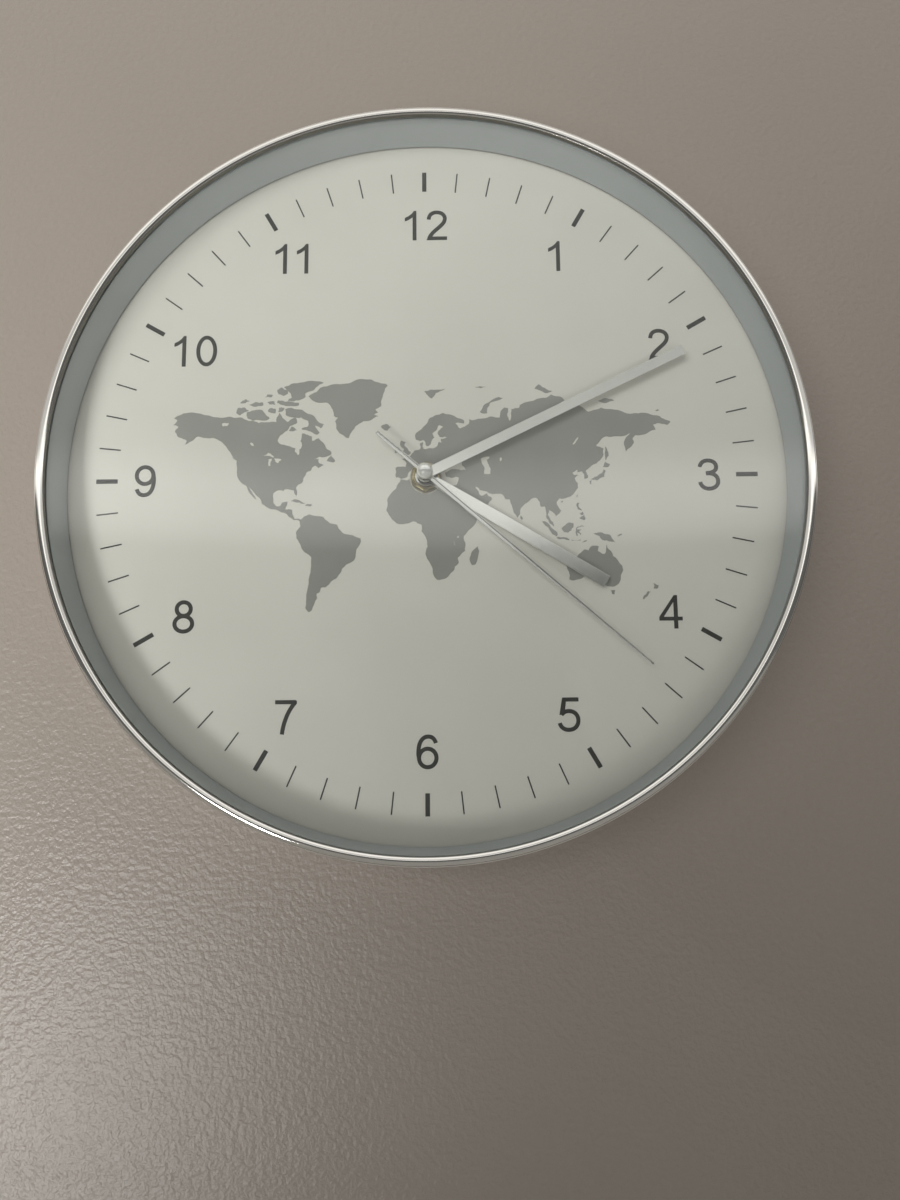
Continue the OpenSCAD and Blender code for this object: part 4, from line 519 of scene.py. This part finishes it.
# Screw bosses, in mm
boss = {"count": 6, "at": 141.0, "radius": 3.6, "bore": 1.51, "low": 5.4, "high": 18.6, "edge": 0.25,
        "boreEdge": 0.15, "ribHalf": 1.5, "ribStart": 143.0, "ribEnd": 148.0, "ribEdge": 0.2, "turns": 40}


# Screw boss of the rim, drawn at the 12 and turned to its place: a tube with rounded ends, and a rib from
# it to the side wall, which is an outline carried from the low height to the high one
def bossShells(turnDeg):
    low, high, radius, bore, edge, boreEdge = pick(boss, "low high radius bore edge boreEdge")
    tube = roundedOutline([(bore, low, boreEdge), (radius, low, edge), (radius, high, edge),
                           (bore, high, boreEdge)])
    half, near, far, soft = pick(boss, "ribHalf ribStart ribEnd ribEdge")
    rib = roundedOutline([(-half, near, soft), (half, near, soft), (half, far, soft), (-half, far, soft)])
    across, up = turnFlat(rib[:, :1], rib[:, 1:], turnDeg)
    ribShell = gridShell(inRoom(across, np.array([[low, high]]), up))
    return [turnedShell(tube, boss["turns"], centre=turnFlat(0, boss["at"], turnDeg)), ribShell]


bosses = [shell for k in range(boss["count"]) for shell in bossShells(k * 360 / boss["count"])]
rimShells = [turnedShell(rimSection(), rim["turns"])] + bosses
shellObject("rimShell", rimShells, finish["rimChrome"], "case", "bezel")

# Spacer ring, in mm: leans outwards towards the glass and overhangs its foot, which leaves a groove, darkened
# by its own shade and by painted shade in the ring's finish
ring = {"outer": 147.18, "low": 20.02, "high": 36.4, "mouth": 146.22, "inner": 144.93, "innerLow": 20.92,
        "groove": 145.8, "grooveTop": 20.88, "turns": 720}


# Section of the spacer ring: its corners, each with its setback
def ringSection():
    outer, low, high, mouth = pick(ring, "outer low high mouth")
    inner, innerLow, groove, grooveTop = pick(ring, "inner innerLow groove grooveTop")
    return roundedOutline([(groove, low, 0.08), (outer, low, 0.1), (outer, high, 0.1), (mouth, high, 0.12),
                           (inner, innerLow, 0.14), (groove, grooveTop, 0.08)])


ringShell = turnedShell(ringSection(), ring["turns"])
shellObject("ringWall", [ringShell], finish["ringPlastic"], "case", "spacer_ring")

# Ball cap, in mm: a sphere cut flat at its seat on the second hand, with a hole for the arbor's end
ball = {"height": 30.1, "radius": 3.25, "seat": 27.7, "hole": 0.47, "holeTop": 29.7, "holeEdge": 0.05,
        "seatFlats": (1.6, 2.1), "edgeDeg": 1.5, "topDeg": 89.6, "pole": 0.02, "turns": 128}


# Section of the ball cap: down the hole, along the seat and round the sphere, from just above the angle
# whose sine is the seat's height from the centre divided by the radius
def ballSection():
    height, radius, seat, hole, top, edge = pick(ball, "height radius seat hole holeTop holeEdge")
    seatDeg = math.degrees(math.asin((seat - height) / radius))
    start = [[ball["pole"], top], [hole, top], [hole, seat + edge], [hole + edge, seat]]
    start += [[flat, seat] for flat in ball["seatFlats"]]
    sphere = arcPoints((0, height), radius, seatDeg + ball["edgeDeg"], ball["topDeg"], 64)
    return np.concatenate([start, sphere])


ballShell = turnedShell(ballSection(), ball["turns"], poles=True)
shellObject("ballCapPolished", [ballShell], finish["ballChrome"], "second", "ball_cap")
print("rim, ring and ball made")


# Map print, in mm: rough is the shift's share of an edge, most its limit, shortest the edge left alone
mapPrint = {"rough": 0.16, "most": 0.22, "shortest": 0.35, "rounds": 2, "seed": 7, "thick": 0.1,
            "faceDeep": 0.02, "joined": 0.00001}


# Closed loops of the printed face's edge, in mm across and up, in the order of the face's winding. An
# edge lies on the outline when no other face runs along it the other way.
def printLoops(mesh):
    points = np.empty(len(mesh.vertices) * 3, np.float32)
    mesh.vertices.foreach_get("co", points)
    points = points.reshape(-1, 3)
    front = points[:, 1].min()
    onFace = points[:, 1] < front + mapPrint["faceDeep"] * mm
    keys, index = np.unique(np.round(points[:, [0, 2]] / mm, 3), axis=0, return_inverse=True)
    index = index.ravel()
    edges = {}
    for face in mesh.polygons:
        corners = list(face.vertices)
        if all(onFace[v] for v in corners):
            for a, b in zip(corners, corners[1:] + corners[:1]):
                edges[(index[a], index[b])] = True
    after = {}
    for a, b in edges:
        if (b, a) not in edges:
            after.setdefault(a, []).append(b)
    loops = []
    for first in list(after):
        while after[first]:
            loop, here = [first], after[first].pop()
            while here != first:
                loop.append(here)
                here = after[here].pop()
            loops.append(keys[loop])
    return loops, front


# Makes a coast ragged: every long edge gets a middle point, moved across the edge by a random share of
# its length, and the same is done again to the halves
def raggedCoast(loop, chance):
    for _ in range(mapPrint["rounds"]):
        ahead = np.roll(loop, -1, 0) - loop
        length = np.linalg.norm(ahead, axis=1)
        across = np.stack([-ahead[:, 1], ahead[:, 0]], -1) / np.maximum(length, 1e-6)[:, None]
        shift = chance.uniform(-1, 1, len(loop)) * mapPrint["rough"] * length
        shift = np.clip(shift, -mapPrint["most"], mapPrint["most"])
        middle = loop + ahead / 2 + across * shift[:, None]
        both = np.stack([loop, middle], 1).reshape(-1, 2)
        loop = both[np.stack([np.ones(len(loop), bool), length > mapPrint["shortest"]], 1).ravel()]
    return loop


# Whether a point lies in a loop: a line to its right crosses the loop an odd number of times
def insideLoop(point, loop):
    ahead = np.roll(loop, -1, 0)
    crosses = (loop[:, 1] > point[1]) != (ahead[:, 1] > point[1])
    rise = np.where(crosses, ahead[:, 1] - loop[:, 1], 1)
    at = loop[:, 0] + (point[1] - loop[:, 1]) / rise * (ahead[:, 0] - loop[:, 0])
    return (crosses & (at > point[0])).sum() % 2 == 1


# Twice the area of a loop, by the sum of x times next y minus next x times y. Its sign tells the winding.
def loopArea(loop):
    ahead = np.roll(loop, -1, 0)
    return np.sum(loop[:, 0] * ahead[:, 1] - loop[:, 1] * ahead[:, 0])


# One land of the map as a thin shell: front and back are the triangles between its coast and its lakes,
# and each loop gets a wall
def landShell(held, front):
    flat = np.concatenate(held)
    starts = np.cumsum([0] + [len(loop) for loop in held])
    rings = [np.arange(len(loop)) + start for loop, start in zip(held, starts)]
    edges = np.concatenate([np.stack([ring, np.roll(ring, -1)], -1) for ring in rings])
    filled = delaunay_2d_cdt([Vector(p) for p in flat], edges.tolist(), [], 1, mapPrint["joined"])
    spots = np.array([tuple(v) for v in filled[0]])
    caps = [f for f in filled[2] if not any(insideLoop(spots[f].mean(0), lake) for lake in held[1:])]
    capped, edged = len(spots), len(flat)
    walls = np.stack([edges[:, 0], edges[:, 1], edges[:, 1] + edged, edges[:, 0] + edged], -1) + 2 * capped
    faces = [list(f) for f in caps] + [[v + capped for v in f[::-1]] for f in caps] + walls.tolist()
    ink, coast = (np.stack([p[:, 0] * mm, np.full(len(p), front), p[:, 1] * mm], -1) for p in (spots, flat))
    behind = [0, mapPrint["thick"] * mm, 0]
    return np.concatenate([ink, ink + behind, coast, coast + behind]), faces


# The map as thin ink with ragged coasts. Lands wind like the largest loop, and lakes the other way.
def mapInk():
    loops, front = printLoops(nodes["world_map"].data)
    areas = [loopArea(loop) for loop in loops]
    main = math.copysign(1, max(areas, key=abs))
    chance = np.random.default_rng(mapPrint["seed"])
    lakes = [loop for loop, area in zip(loops, areas) if area * main < 0]
    shells = []
    for land, area in zip(loops, areas):
        if area * main > 0:
            held = [land] + [lake for lake in lakes if insideLoop(lake[0], land)]
            shells.append(landShell([raggedCoast(loop, chance) for loop in held], front))
    piece = shellObject("mapInkPrint", shells, finish["mapInk"], "case", "world_map")
    piece.data.polygons.foreach_set("use_smooth", np.zeros(len(piece.data.polygons), bool))


mapInk()
print("map made")


# Hex nut, in mm: coneFoot and coneFace are the chamfer cone's radii at the nut's two faces, sharp is
# how tightly flats and cone meet, and within the radius solid nothing is cut
nut = {"apothem": 5.5, "low": 20.4, "high": 22.4, "bore": 3.92, "turnDeg": 27.3, "coneFoot": 8.35,
       "coneFace": 5.5, "sharp": 14, "solid": 5, "beyond": 9.0, "faceEdge": 0.25, "footEdge": 0.2,
       "faceFlat": 4.6, "footFlat": 4.9, "wallEdge": 0.05, "turns": 360}


# The flats of the nut: apothem / cos(angle from the flat's middle), cut by the cone of the chamfer
# and rounded where they meet
def nutFlats(t, r, h):
    fromMiddle = (np.degrees(t) + nut["turnDeg"] - 90) % 60 - 30
    hexagon = nut["apothem"] / np.cos(np.radians(fromMiddle))
    share = (h - nut["low"]) / (nut["high"] - nut["low"])
    cone = nut["coneFoot"] - (nut["coneFoot"] - nut["coneFace"]) * share
    sharp = nut["sharp"]
    limit = -np.log(np.exp(-sharp * hexagon) + np.exp(-sharp * cone)) / sharp
    return np.where(r > nut["solid"], np.minimum(r, limit), r)


# Section of the nut: from its bore over the face, down a wall outside the flats and back to the bore
def nutSection():
    low, high, bore, faceEdge, footEdge = pick(nut, "low high bore faceEdge footEdge")
    wall = np.linspace(high, low + nut["wallEdge"], 14)
    return np.concatenate([[[bore, high - faceEdge], [bore + faceEdge, high], [nut["faceFlat"], high]],
                           np.stack([np.full(len(wall), nut["beyond"]), wall], -1),
                           [[nut["footFlat"], low], [bore + footEdge, low], [bore, low + footEdge]]])


nutShell = turnedShell(nutSection(), nut["turns"], wave=nutFlats)
shellObject("hexNutFaceted", [nutShell], finish["brass"], "case", "hex_nut")

# Setting knob, in mm above the wall: a thumb wheel with a dimple, a stem, a pinion and a pivot
knob = {"centre": (-15.764, -7.351), "radius": 5.5, "back": 1.4, "front": 4.3, "edge": 0.4, "flutes": 24,
        "fluteDeep": 0.28, "fluteFrom": 5.2, "dimple": 1.2, "dimpleDeep": 0.35, "stem": 1.2,
        "pinion": 2.4, "pinionLow": 10.8, "pinionHigh": 12.5, "teeth": 12, "toothDeep": 0.28,
        "pivot": 0.8, "end": 15.7, "pole": 0.02, "turns": 384}


# Thumb flutes on the knob's edge and teeth on its pinion: the radius drops by a rounded wave, the depth
# times |cos| cubed, and rises and falls by a squarish one, the depth times the signed root of |sin|
def knobWave(t, r, h):
    flutes = knob["fluteDeep"] * np.abs(np.cos(knob["flutes"] / 2 * t)) ** 3
    swing = np.sin(knob["teeth"] * t)
    teeth = knob["toothDeep"] * np.sign(swing) * np.abs(swing) ** 0.5
    toothed = (h > knob["pinionLow"] - 0.01) & (h < knob["pinionHigh"] + 0.01) & (r > knob["pinion"] - 0.4)
    return np.where(r > knob["fluteFrom"], r - flutes, np.where(toothed, r + teeth, r))


# Section of the knob, from the dimple in its back round the wheel's edge and along the stem to the pivot
def knobSection():
    radius, edge, back, front, dimple, stem = pick(knob, "radius edge back front dimple stem")
    pinion, low, high, pivot, end, pole = pick(knob, "pinion pinionLow pinionHigh pivot end pole")
    floor = back + knob["dimpleDeep"]
    return np.concatenate([
        [[pole, floor], [dimple, floor], [dimple + 0.15, floor - 0.03], [dimple + 0.35, back + 0.05],
         [dimple + 0.5, back], [radius - 1.1, back], [radius - 0.75, back]],
        arcPoints((radius - edge, back + edge), edge, -90, 0, 6),
        [[radius, back + 0.7], [radius, front - 0.7]],
        arcPoints((radius - edge, front - edge), edge, 0, 90, 6),
        [[radius - 0.8, front], [stem + 0.4, front], [stem + 0.05, front], [stem, front + 0.06],
         [stem, low - 0.1], [stem, low], [pinion - 0.05, low], [pinion, low + 0.05], [pinion, high - 0.06],
         [pinion - 0.05, high], [pivot + 0.05, high], [pivot, high + 0.05], [pivot, end - 0.2],
         [pivot - 0.1, end], [pole, end]]])


knobShell = turnedShell(knobSection(), knob["turns"], poles=True, centre=knob["centre"], wave=knobWave)
shellObject("knobFluted", [knobShell], finish["knobBlack"], "knob", "setting_knob")

# Battery, in mm: its place and length come from the CAD's box, and the flat end is where x is least
cellLow, cellHigh = (np.array(corner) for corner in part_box("battery"))
cellLength = (cellHigh[0] - cellLow[0]) / mm
cell = {"radius": 7.05, "button": 2.75, "buttonLen": 1.0, "bead": 0.4, "pole": 0.02, "copperFrom": 36.0,
        "capLen": 0.9, "seamHalf": 0.12, "turns": 96}


# Section of the battery (radius, distance from its flat end): the steel disc of the flat end, the
# sleeve folded over it, the straight side, the fold at the shoulder and the button
def cellSection():
    radius, bead, button, pole = pick(cell, "radius bead button pole")
    shoulder = cellLength - cell["buttonLen"]
    return np.concatenate([
        [[pole, 0.12], [radius - 2.45, 0.12], [radius - 1.85, 0.14], [radius - 1.45, 0.3],
         [radius - 1.15, 0.3]],
        arcPoints((radius - 0.7, 0.4), bead, 190, 300, 8),
        arcPoints((radius - bead, 0.75), bead, -80, 0, 6),
        [[radius, 1.2], [radius, shoulder - 1.1]],
        arcPoints((radius - bead, shoulder - 0.75), bead, 0, 75, 6),
        arcPoints((radius - 0.75, shoulder - 0.4), bead - 0.02, 60, 165, 8),
        [[radius - 1.45, shoulder - 0.3], [button + 0.55, shoulder - 0.3], [button + 0.15, shoulder - 0.24],
         [button, shoulder - 0.05], [button, cellLength - 0.25], [button - 0.15, cellLength - 0.06],
         [button - 0.35, cellLength], [pole, cellLength]]])


# The section turned round the cell's own axis, which runs along x: x = start plus distance, and y and z
# are r cos t and r sin t round the middle of the bay
def cellShell(section, turns):
    t = np.linspace(0, 2 * math.pi, turns, endpoint=False)[:, None]
    r = section[None, :, 0] * mm
    along = section[None, :, 1] * mm
    middle = (cellLow + cellHigh) / 2
    places = [cellLow[0] + along, middle[1] + r * np.cos(t), middle[2] + r * np.sin(t)]
    return gridShell(np.stack(np.broadcast_arrays(*places), -1))


# Sleeve in two tones, dark up to the copper near the button, between ends of steel. Each band is a mask
# along x.
def cellMaterial():
    material, tree, shader = startMaterial("batterySleeve", Coat_Weight=0.35, Coat_Roughness=0.15)
    place = objectPlace(tree)

    # Mask that is 1 beyond a distance, in mm, from the flat end
    def beyond(distance):
        edge = float(cellLow[0]) + distance * mm
        return axisMask(tree, place, 0, edge - cell["seamHalf"] * mm, edge + cell["seamHalf"] * mm)

    dark = groupNode(tree, skinGroup, Patch_Size=120.0, Grain_Size=2800.0,
                     **tones((0.03, 0.03, 0.032), (0.045, 0.045, 0.048), (0.2, 0.32)))
    copper = groupNode(tree, strokeGroup, Vector=place, Stretch=(60, 2500, 2500),
                       **tones((0.58, 0.3, 0.14), (0.7, 0.4, 0.2), (0.18, 0.3)))
    steel = groupNode(tree, strokeGroup, Vector=place, Stretch=(2500, 400, 400),
                      **tones((0.6, 0.6, 0.59), (0.72, 0.72, 0.71), (0.18, 0.3)))
    toCopper = beyond(cell["copperFrom"])
    flatEnd = mathNode(tree, "SUBTRACT", 1.0, beyond(cell["capLen"]))
    ends = mathNode(tree, "MAXIMUM", flatEnd, beyond(cellLength - cell["buttonLen"] - cell["capLen"]))
    for label, kind, target in (("Color", "RGBA", "Base Color"), ("Roughness", "FLOAT", "Roughness")):
        sleeve = mixNode(tree, kind, toCopper, dark.outputs[label], copper.outputs[label])
        tree.links.new(mixNode(tree, kind, ends, sleeve, steel.outputs[label]), shader.inputs[target])
    tree.links.new(mathNode(tree, "MAXIMUM", toCopper, ends), shader.inputs["Metallic"])
    bumpInto(tree, shader, dark.outputs["Height"], 4)
    return material


shellObject("batteryCell", [cellShell(cellSection(), cell["turns"])], cellMaterial(), "case", "battery")
print("nut, knob and battery made")


# The hand's own drawing as UV, metres across it and along it: the hand turned back to the 12
def handUv(turnDeg):
    return lambda p: np.stack(turnFlat(p[:, 0], p[:, 2] - axisZ, -turnDeg), -1)


# A strip of sheet carried along s: its section has rounded edges and a top that dips by dip(s, u),
# with u from -1 to 1 across it. x = u times the half width, plus the inset of the edge points.
def stripShell(s, half, hand, columns, dip=None):
    inset = np.array([0, 0.3, 1, 1.6]) * hand["edge"]
    drop = np.array([1, 0.3, 0, 0]) * hand["edge"]
    share = np.concatenate([np.full(4, -1.0), columns, np.full(4, 1.0)])
    shift = np.concatenate([inset, 0 * columns, -inset[::-1]])
    fall = np.concatenate([drop, 0 * columns, drop[::-1]])
    s = s[:, None]
    half = half[:, None]
    x = half * share + shift
    top = hand["sheet"] - fall + 0 * half
    if dip is not None:
        top = top - dip(s, x / half)
    across = np.concatenate([x, x[:, ::-1]], 1)
    height = np.concatenate([top, (fall + 0 * half)[:, ::-1]], 1)
    turned, up = turnFlat(across, s, hand["turnDeg"])
    return gridShell(inRoom(turned, hand["height"] + height, up).transpose(1, 0, 2))


# Half width of a blade: inside the hub's circle near the axis, then an arc that fills the corner between
# circle and neck, then a straight run from the neck's width to the full one, and a corner at the tip
def bladeHalfWidth(s, hand):
    hub, fill, length, corner = pick(hand, "hub fillet length corner")
    neck = hand["neck"] / 2
    centreX = neck + fill
    centreS = math.sqrt((hub + fill) ** 2 - centreX ** 2)
    meet = centreS * hub / (hub + fill)
    inside = 0.97 * np.sqrt(np.maximum(hub ** 2 - s ** 2, 0.01))
    arc = centreX - np.sqrt(np.maximum(fill ** 2 - (centreS - s) ** 2, 0))
    run = neck + (hand["width"] / 2 - neck) * np.clip((s - centreS) / (hand["flare"] - centreS), 0, 1)
    half = np.where(s < meet, np.minimum(inside, arc), np.where(s < centreS, arc, run))
    left = np.clip((s - length + corner) / corner, 0, 1)
    return half - corner * (1 - np.sqrt(np.maximum(1 - left ** 2, 0)))


# Both flat hands, in mm: the hub's lip is wide, with a slope down to a dish, and the blade is sunk under
# the hub's faces, starts beyond the hole and has short steps as far as denseTo hubs
sheetHand = {"lipWide": 0.68, "lipSlope": 0.08, "dish": 0.1, "sunk": 0.01, "start": 0.35, "denseTo": 1.6,
             "sheet": 0.4, "corner": 0.35, "edge": 0.09}


# Flat hand: a hub ring with a raised lip, and a blade that starts under the collar. Along the blade the
# steps are short by the hub, longer to the tip's corner, and follow the corner's quarter circle.
def flatHand(name, hand, node):
    hand = dict(sheetHand, **hand)
    low, sheet, hub, hole, corner = pick(hand, "height sheet hub hole corner")
    high = low + sheet
    dished = high - hand["dish"]
    lip = hub - hand["lipWide"]
    hubSection = roundedOutline([(hole, low, 0.05), (hub, low, 0.08), (hub, high, 0.1), (lip, high, 0.05),
                                 (lip - hand["lipSlope"], dished, 0.04), (hole, dished, 0.05)])
    dense = hub * hand["denseTo"]
    s = np.concatenate([np.linspace(hole + hand["start"], dense, 26),
                        np.linspace(dense, hand["length"] - corner - 0.1, 90)[1:],
                        hand["length"] - corner * (1 - np.sin(np.radians(np.linspace(0, 88, 9))))])
    thinner = dict(hand, sheet=sheet - hand["sunk"])
    blade = stripShell(s, bladeHalfWidth(s, hand), thinner, np.linspace(-0.7, 0.7, 9))
    shells = [turnedShell(hubSection, 160), blade]
    shellObject(name, shells, finish["handMetal"], hand["body"], node, handUv(hand["turnDeg"]))


hourHand = {"turnDeg": 121.6, "length": 83.6, "width": 5.2, "neck": 4.16, "flare": 34, "hub": 4.2,
            "hole": 2.52, "fillet": 2.2, "height": 22.7, "body": "hour"}
minuteHand = {"turnDeg": 64.1, "length": 116.5, "width": 4.2, "neck": 4.2, "flare": 8, "hub": 3.3,
              "hole": 1.52, "fillet": 1.2, "height": 25.3, "body": "minute"}
flatHand("hourHandSheet", hourHand, "hour_hand")
flatHand("minuteHandSheet", minuteHand, "minute_hand")

# Second hand, in mm: end, middle and tip are its widths at the tail's end, at the axis and at the tip
secondHand = {"turnDeg": 131.3, "length": 116.0, "tail": 25.6, "end": 1.52, "middle": 1.9, "tip": 0.798,
              "hub": 1.6, "hubReach": 2.4, "height": 27.3, "sheet": 0.4, "edge": 0.06, "groove": 0.14,
              "grooveFade": 110, "grooveWide": 0.6, "grooveFrom": 1.7, "grooveRamp": 1.5}


# Half width of the needle: straight from the tail to the axis and from there to the tip, and round the
# axis the hub's circle where that is wider
def needleHalfWidth(s):
    tail, length, end, middle, tip = pick(secondHand, "tail length end middle tip")
    wide = np.interp(s, [-tail, 0, length], [end, middle, tip])
    return np.maximum(wide / 2, np.sqrt(np.maximum(secondHand["hub"] ** 2 - s ** 2, 0)))


# Groove along the needle: deepest in the tail, shallow towards the tip, none at the hub. Across it the
# depth falls with the fourth power of u.
def needleGroove(s, u):
    deep, fade, wide, start, ramp = pick(secondHand, "groove grooveFade grooveWide grooveFrom grooveRamp")
    depth = deep * np.clip(1 - (s + secondHand["tail"]) / fade, 0.3, 1)
    return depth * np.clip(1 - (u / wide) ** 4, 0, 1) * np.clip((np.abs(s) - start) / ramp, 0, 1)


tail, reach, length = pick(secondHand, "tail hubReach length")
steps = np.concatenate([np.linspace(-tail, -reach, 40), np.linspace(-reach, reach, 41)[1:],
                        np.linspace(reach, length, 90)[1:]])
needle = stripShell(steps, needleHalfWidth(steps), secondHand, np.linspace(-0.75, 0.75, 13), needleGroove)
shellObject("secondHandNeedle", [needle], finish["handMetal"], "second", "second_hand",
            handUv(secondHand["turnDeg"]))
print("hands made")


# Room, in metres: the wall stands just behind the clock, and the floor runs to its foot
room = {"wall": (0.276, 0.241, 0.209), "wallSpread": 1.07, "floor": (0.6, 0.585, 0.56), "floorSpread": 1.04,
        "clearance": 0.0003, "floorZ": -1.3, "half": 4.0, "mirroredFrom": 0.08, "rolled": (0.34, 0.42)}


# Flat four-cornered stage piece
def stageSquare(name, corners, material):
    mesh = bpy.data.meshes.new(name)
    mesh.from_pydata(corners, [], [(0, 1, 2, 3)])
    mesh.materials.append(material)
    sceneObject(name, mesh)


# Satin wall paint with a rolled texture. It shows from the front only, to the camera and to mirrored or
# passing rays from further off than mirroredFrom. Other light goes through it to the back of the clock.
def wallMaterial():
    light = tuple(v * room["wallSpread"] for v in room["wall"])
    material = skinMaterial("wallPaint", room["wall"], light, room["rolled"], patch=4, grain=420, depth=500)
    tree = material.node_tree
    path = addNode(tree, "LightPath")
    far = mathNode(tree, "GREATER_THAN", path.outputs["Ray Length"], room["mirroredFrom"])
    bent = mathNode(tree, "MAXIMUM", path.outputs["Is Glossy Ray"], path.outputs["Is Transmission Ray"])
    seen = mathNode(tree, "MAXIMUM", path.outputs["Is Camera Ray"], mathNode(tree, "MULTIPLY", far, bent))
    front = mathNode(tree, "SUBTRACT", 1.0, addNode(tree, "NewGeometry").outputs["Backfacing"])
    mask = mathNode(tree, "MULTIPLY", seen, front)
    chooseShader(tree, mask, addNode(tree, "BsdfTransparent"), tree.nodes["Principled BSDF"])
    return material


half, low, back = room["half"], room["floorZ"], wallY + room["clearance"]
stageSquare("wallStage", [(-half, back, low), (half, back, low), (half, back, half), (-half, back, half)],
            wallMaterial())
stageSquare("floorStage", [(-half, -half, low), (half, -half, low), (half, half, low), (-half, half, low)],
            skinMaterial("paleFloor", room["floor"], tuple(v * room["floorSpread"] for v in room["floor"]),
                         rough=(0.6, 0.7), patch=3, grain=300, depth=100))

# Sky round the clock: each stop is (share of the way from straight down to straight up, brightness)
sky = {"pale": (0.62, 0.61, 0.59), "tint": (1, 0.985, 0.95), "scatterLoss": 0.6,
       "stops": [(0.0, 0.16), (0.4, 0.14), (0.47, 0.1), (0.597, 0.12), (0.604, 0.75), (0.614, 1.2),
                 (0.63, 1.35), (0.65, 0.56), (0.755, 0.54), (0.8, 0.95), (0.93, 1.0), (1.0, 0.6)]}


# Room seen in the metal and glass: darker below, with the bright edge of a ceiling just above eye level.
# The ramp is read at half of z plus a half. The camera sees an even pale tone, and scattered light has
# the strength 1 minus the loss.
def roomLight():
    world = bpy.data.worlds.new("room")
    bpy.context.scene.world = world
    world.use_nodes = True
    tree = world.node_tree
    backdrop = tree.nodes["Background"]
    up = splitVector(tree, addNode(tree, "TexCoord").outputs["Generated"])[2]
    ramp = addNode(tree, "ValToRGB")
    stops = ramp.color_ramp.elements
    while len(stops) < len(sky["stops"]):
        stops.new(0.5)
    for stop, (at, level) in zip(stops, sky["stops"]):
        stop.position = at
        stop.color = rgb(*(level * share for share in sky["tint"]))
    tree.links.new(mathNode(tree, "ADD", mathNode(tree, "MULTIPLY", up, 0.5), 0.5), ramp.inputs[0])
    path = addNode(tree, "LightPath")
    seen = mixNode(tree, "RGBA", path.outputs["Is Camera Ray"], ramp.outputs[0], rgb(*sky["pale"]))
    dim = mathNode(tree, "MULTIPLY", path.outputs["Is Diffuse Ray"], -sky["scatterLoss"])
    setSockets(tree, backdrop, {"Color": seen, "Strength": mathNode(tree, "ADD", dim, 1.0)})
    world.cycles.sampling_method = "NONE"


roomLight()

# Lamps, in metres and watts. Only a mirrored one shows in the metal.
lamps = {
    "keyLamp": {"at": (-0.3, -0.93, 0.1), "size": (0.6, 0.6), "watts": 5.1, "target": (0.1, 0, 0.83),
                "spreadDeg": 116},
    "glowLamp": {"at": (-0.7, -1.0, -0.75), "size": (0.5, 0.3), "watts": 1.8, "target": (-0.51, 0, -0.25),
                 "spreadDeg": 40, "mirrored": True},
    "fillLamp": {"at": (0.3, -1.1, -0.75), "size": (0.6, 0.6), "watts": 0.4, "target": (0.2, 0, -0.2),
                 "spreadDeg": 52},
    "backLamp": {"at": (0.9, 1.9, 0.9), "size": (1.4, 1.4), "watts": 16, "target": (0, -0.02, axisZ)},
}
lampColour = (1, 0.99, 0.97)


# Soft lamp: a flat rectangle at a place, turned so that it faces the target
def softLamp(name, at, size, watts, target, spreadDeg=180, mirrored=False):
    data = bpy.data.lights.new(name, "AREA")
    data.shape = "RECTANGLE"
    data.size, data.size_y = size
    data.energy = watts
    data.color = lampColour
    data.spread = math.radians(spreadDeg)
    lamp = sceneObject(name, data)
    lamp.visible_glossy = mirrored
    lamp.visible_transmission = mirrored
    facing = (Vector(target) - Vector(at)).to_track_quat("-Z", "Y").to_matrix().to_4x4()
    lamp.matrix_world = Matrix.Translation(at) @ facing
    return lamp


lampObjects = {name: softLamp(name, **values) for name, values in lamps.items()}

# The glass leaves the glow lamp out, as it would lie as a bright patch over the dial from the side
keptOut = bpy.data.collections.new("notByGlow")
keptOut.objects.link(nodes["front_glass"])
keptOut.collection_objects[0].light_linking.link_state = "EXCLUDE"
lampObjects["glowLamp"].light_linking.receiver_collection = keptOut

# Camera: where the photograph was taken from, its three directions and its lens for a 36 mm frame
view = {"at": (0.01257, -0.3739, -0.2083), "ahead": (-0.00913872, 0.98967288, 0.14305271),
        "right": (0.99990256, 0.01055394, -0.00913733), "down": (-0.01055273, 0.14295527, -0.98967289),
        "lens": 27.18, "frame": 36, "nearest": 0.01, "furthest": 50}
camera = sceneObject("photoView", bpy.data.cameras.new("photoView"))
camera.data.lens = view["lens"]
camera.data.sensor_width = view["frame"]
camera.data.clip_start = view["nearest"]
camera.data.clip_end = view["furthest"]
turn = Matrix((view["right"], [-v for v in view["down"]], [-v for v in view["ahead"]])).transposed()
camera.matrix_world = Matrix.Translation(view["at"]) @ turn.to_4x4()
bpy.context.scene.camera = camera
bpy.context.scene.view_settings.view_transform = "Standard"
print("stage, lamps and camera set")

bpy.context.view_layer.update()
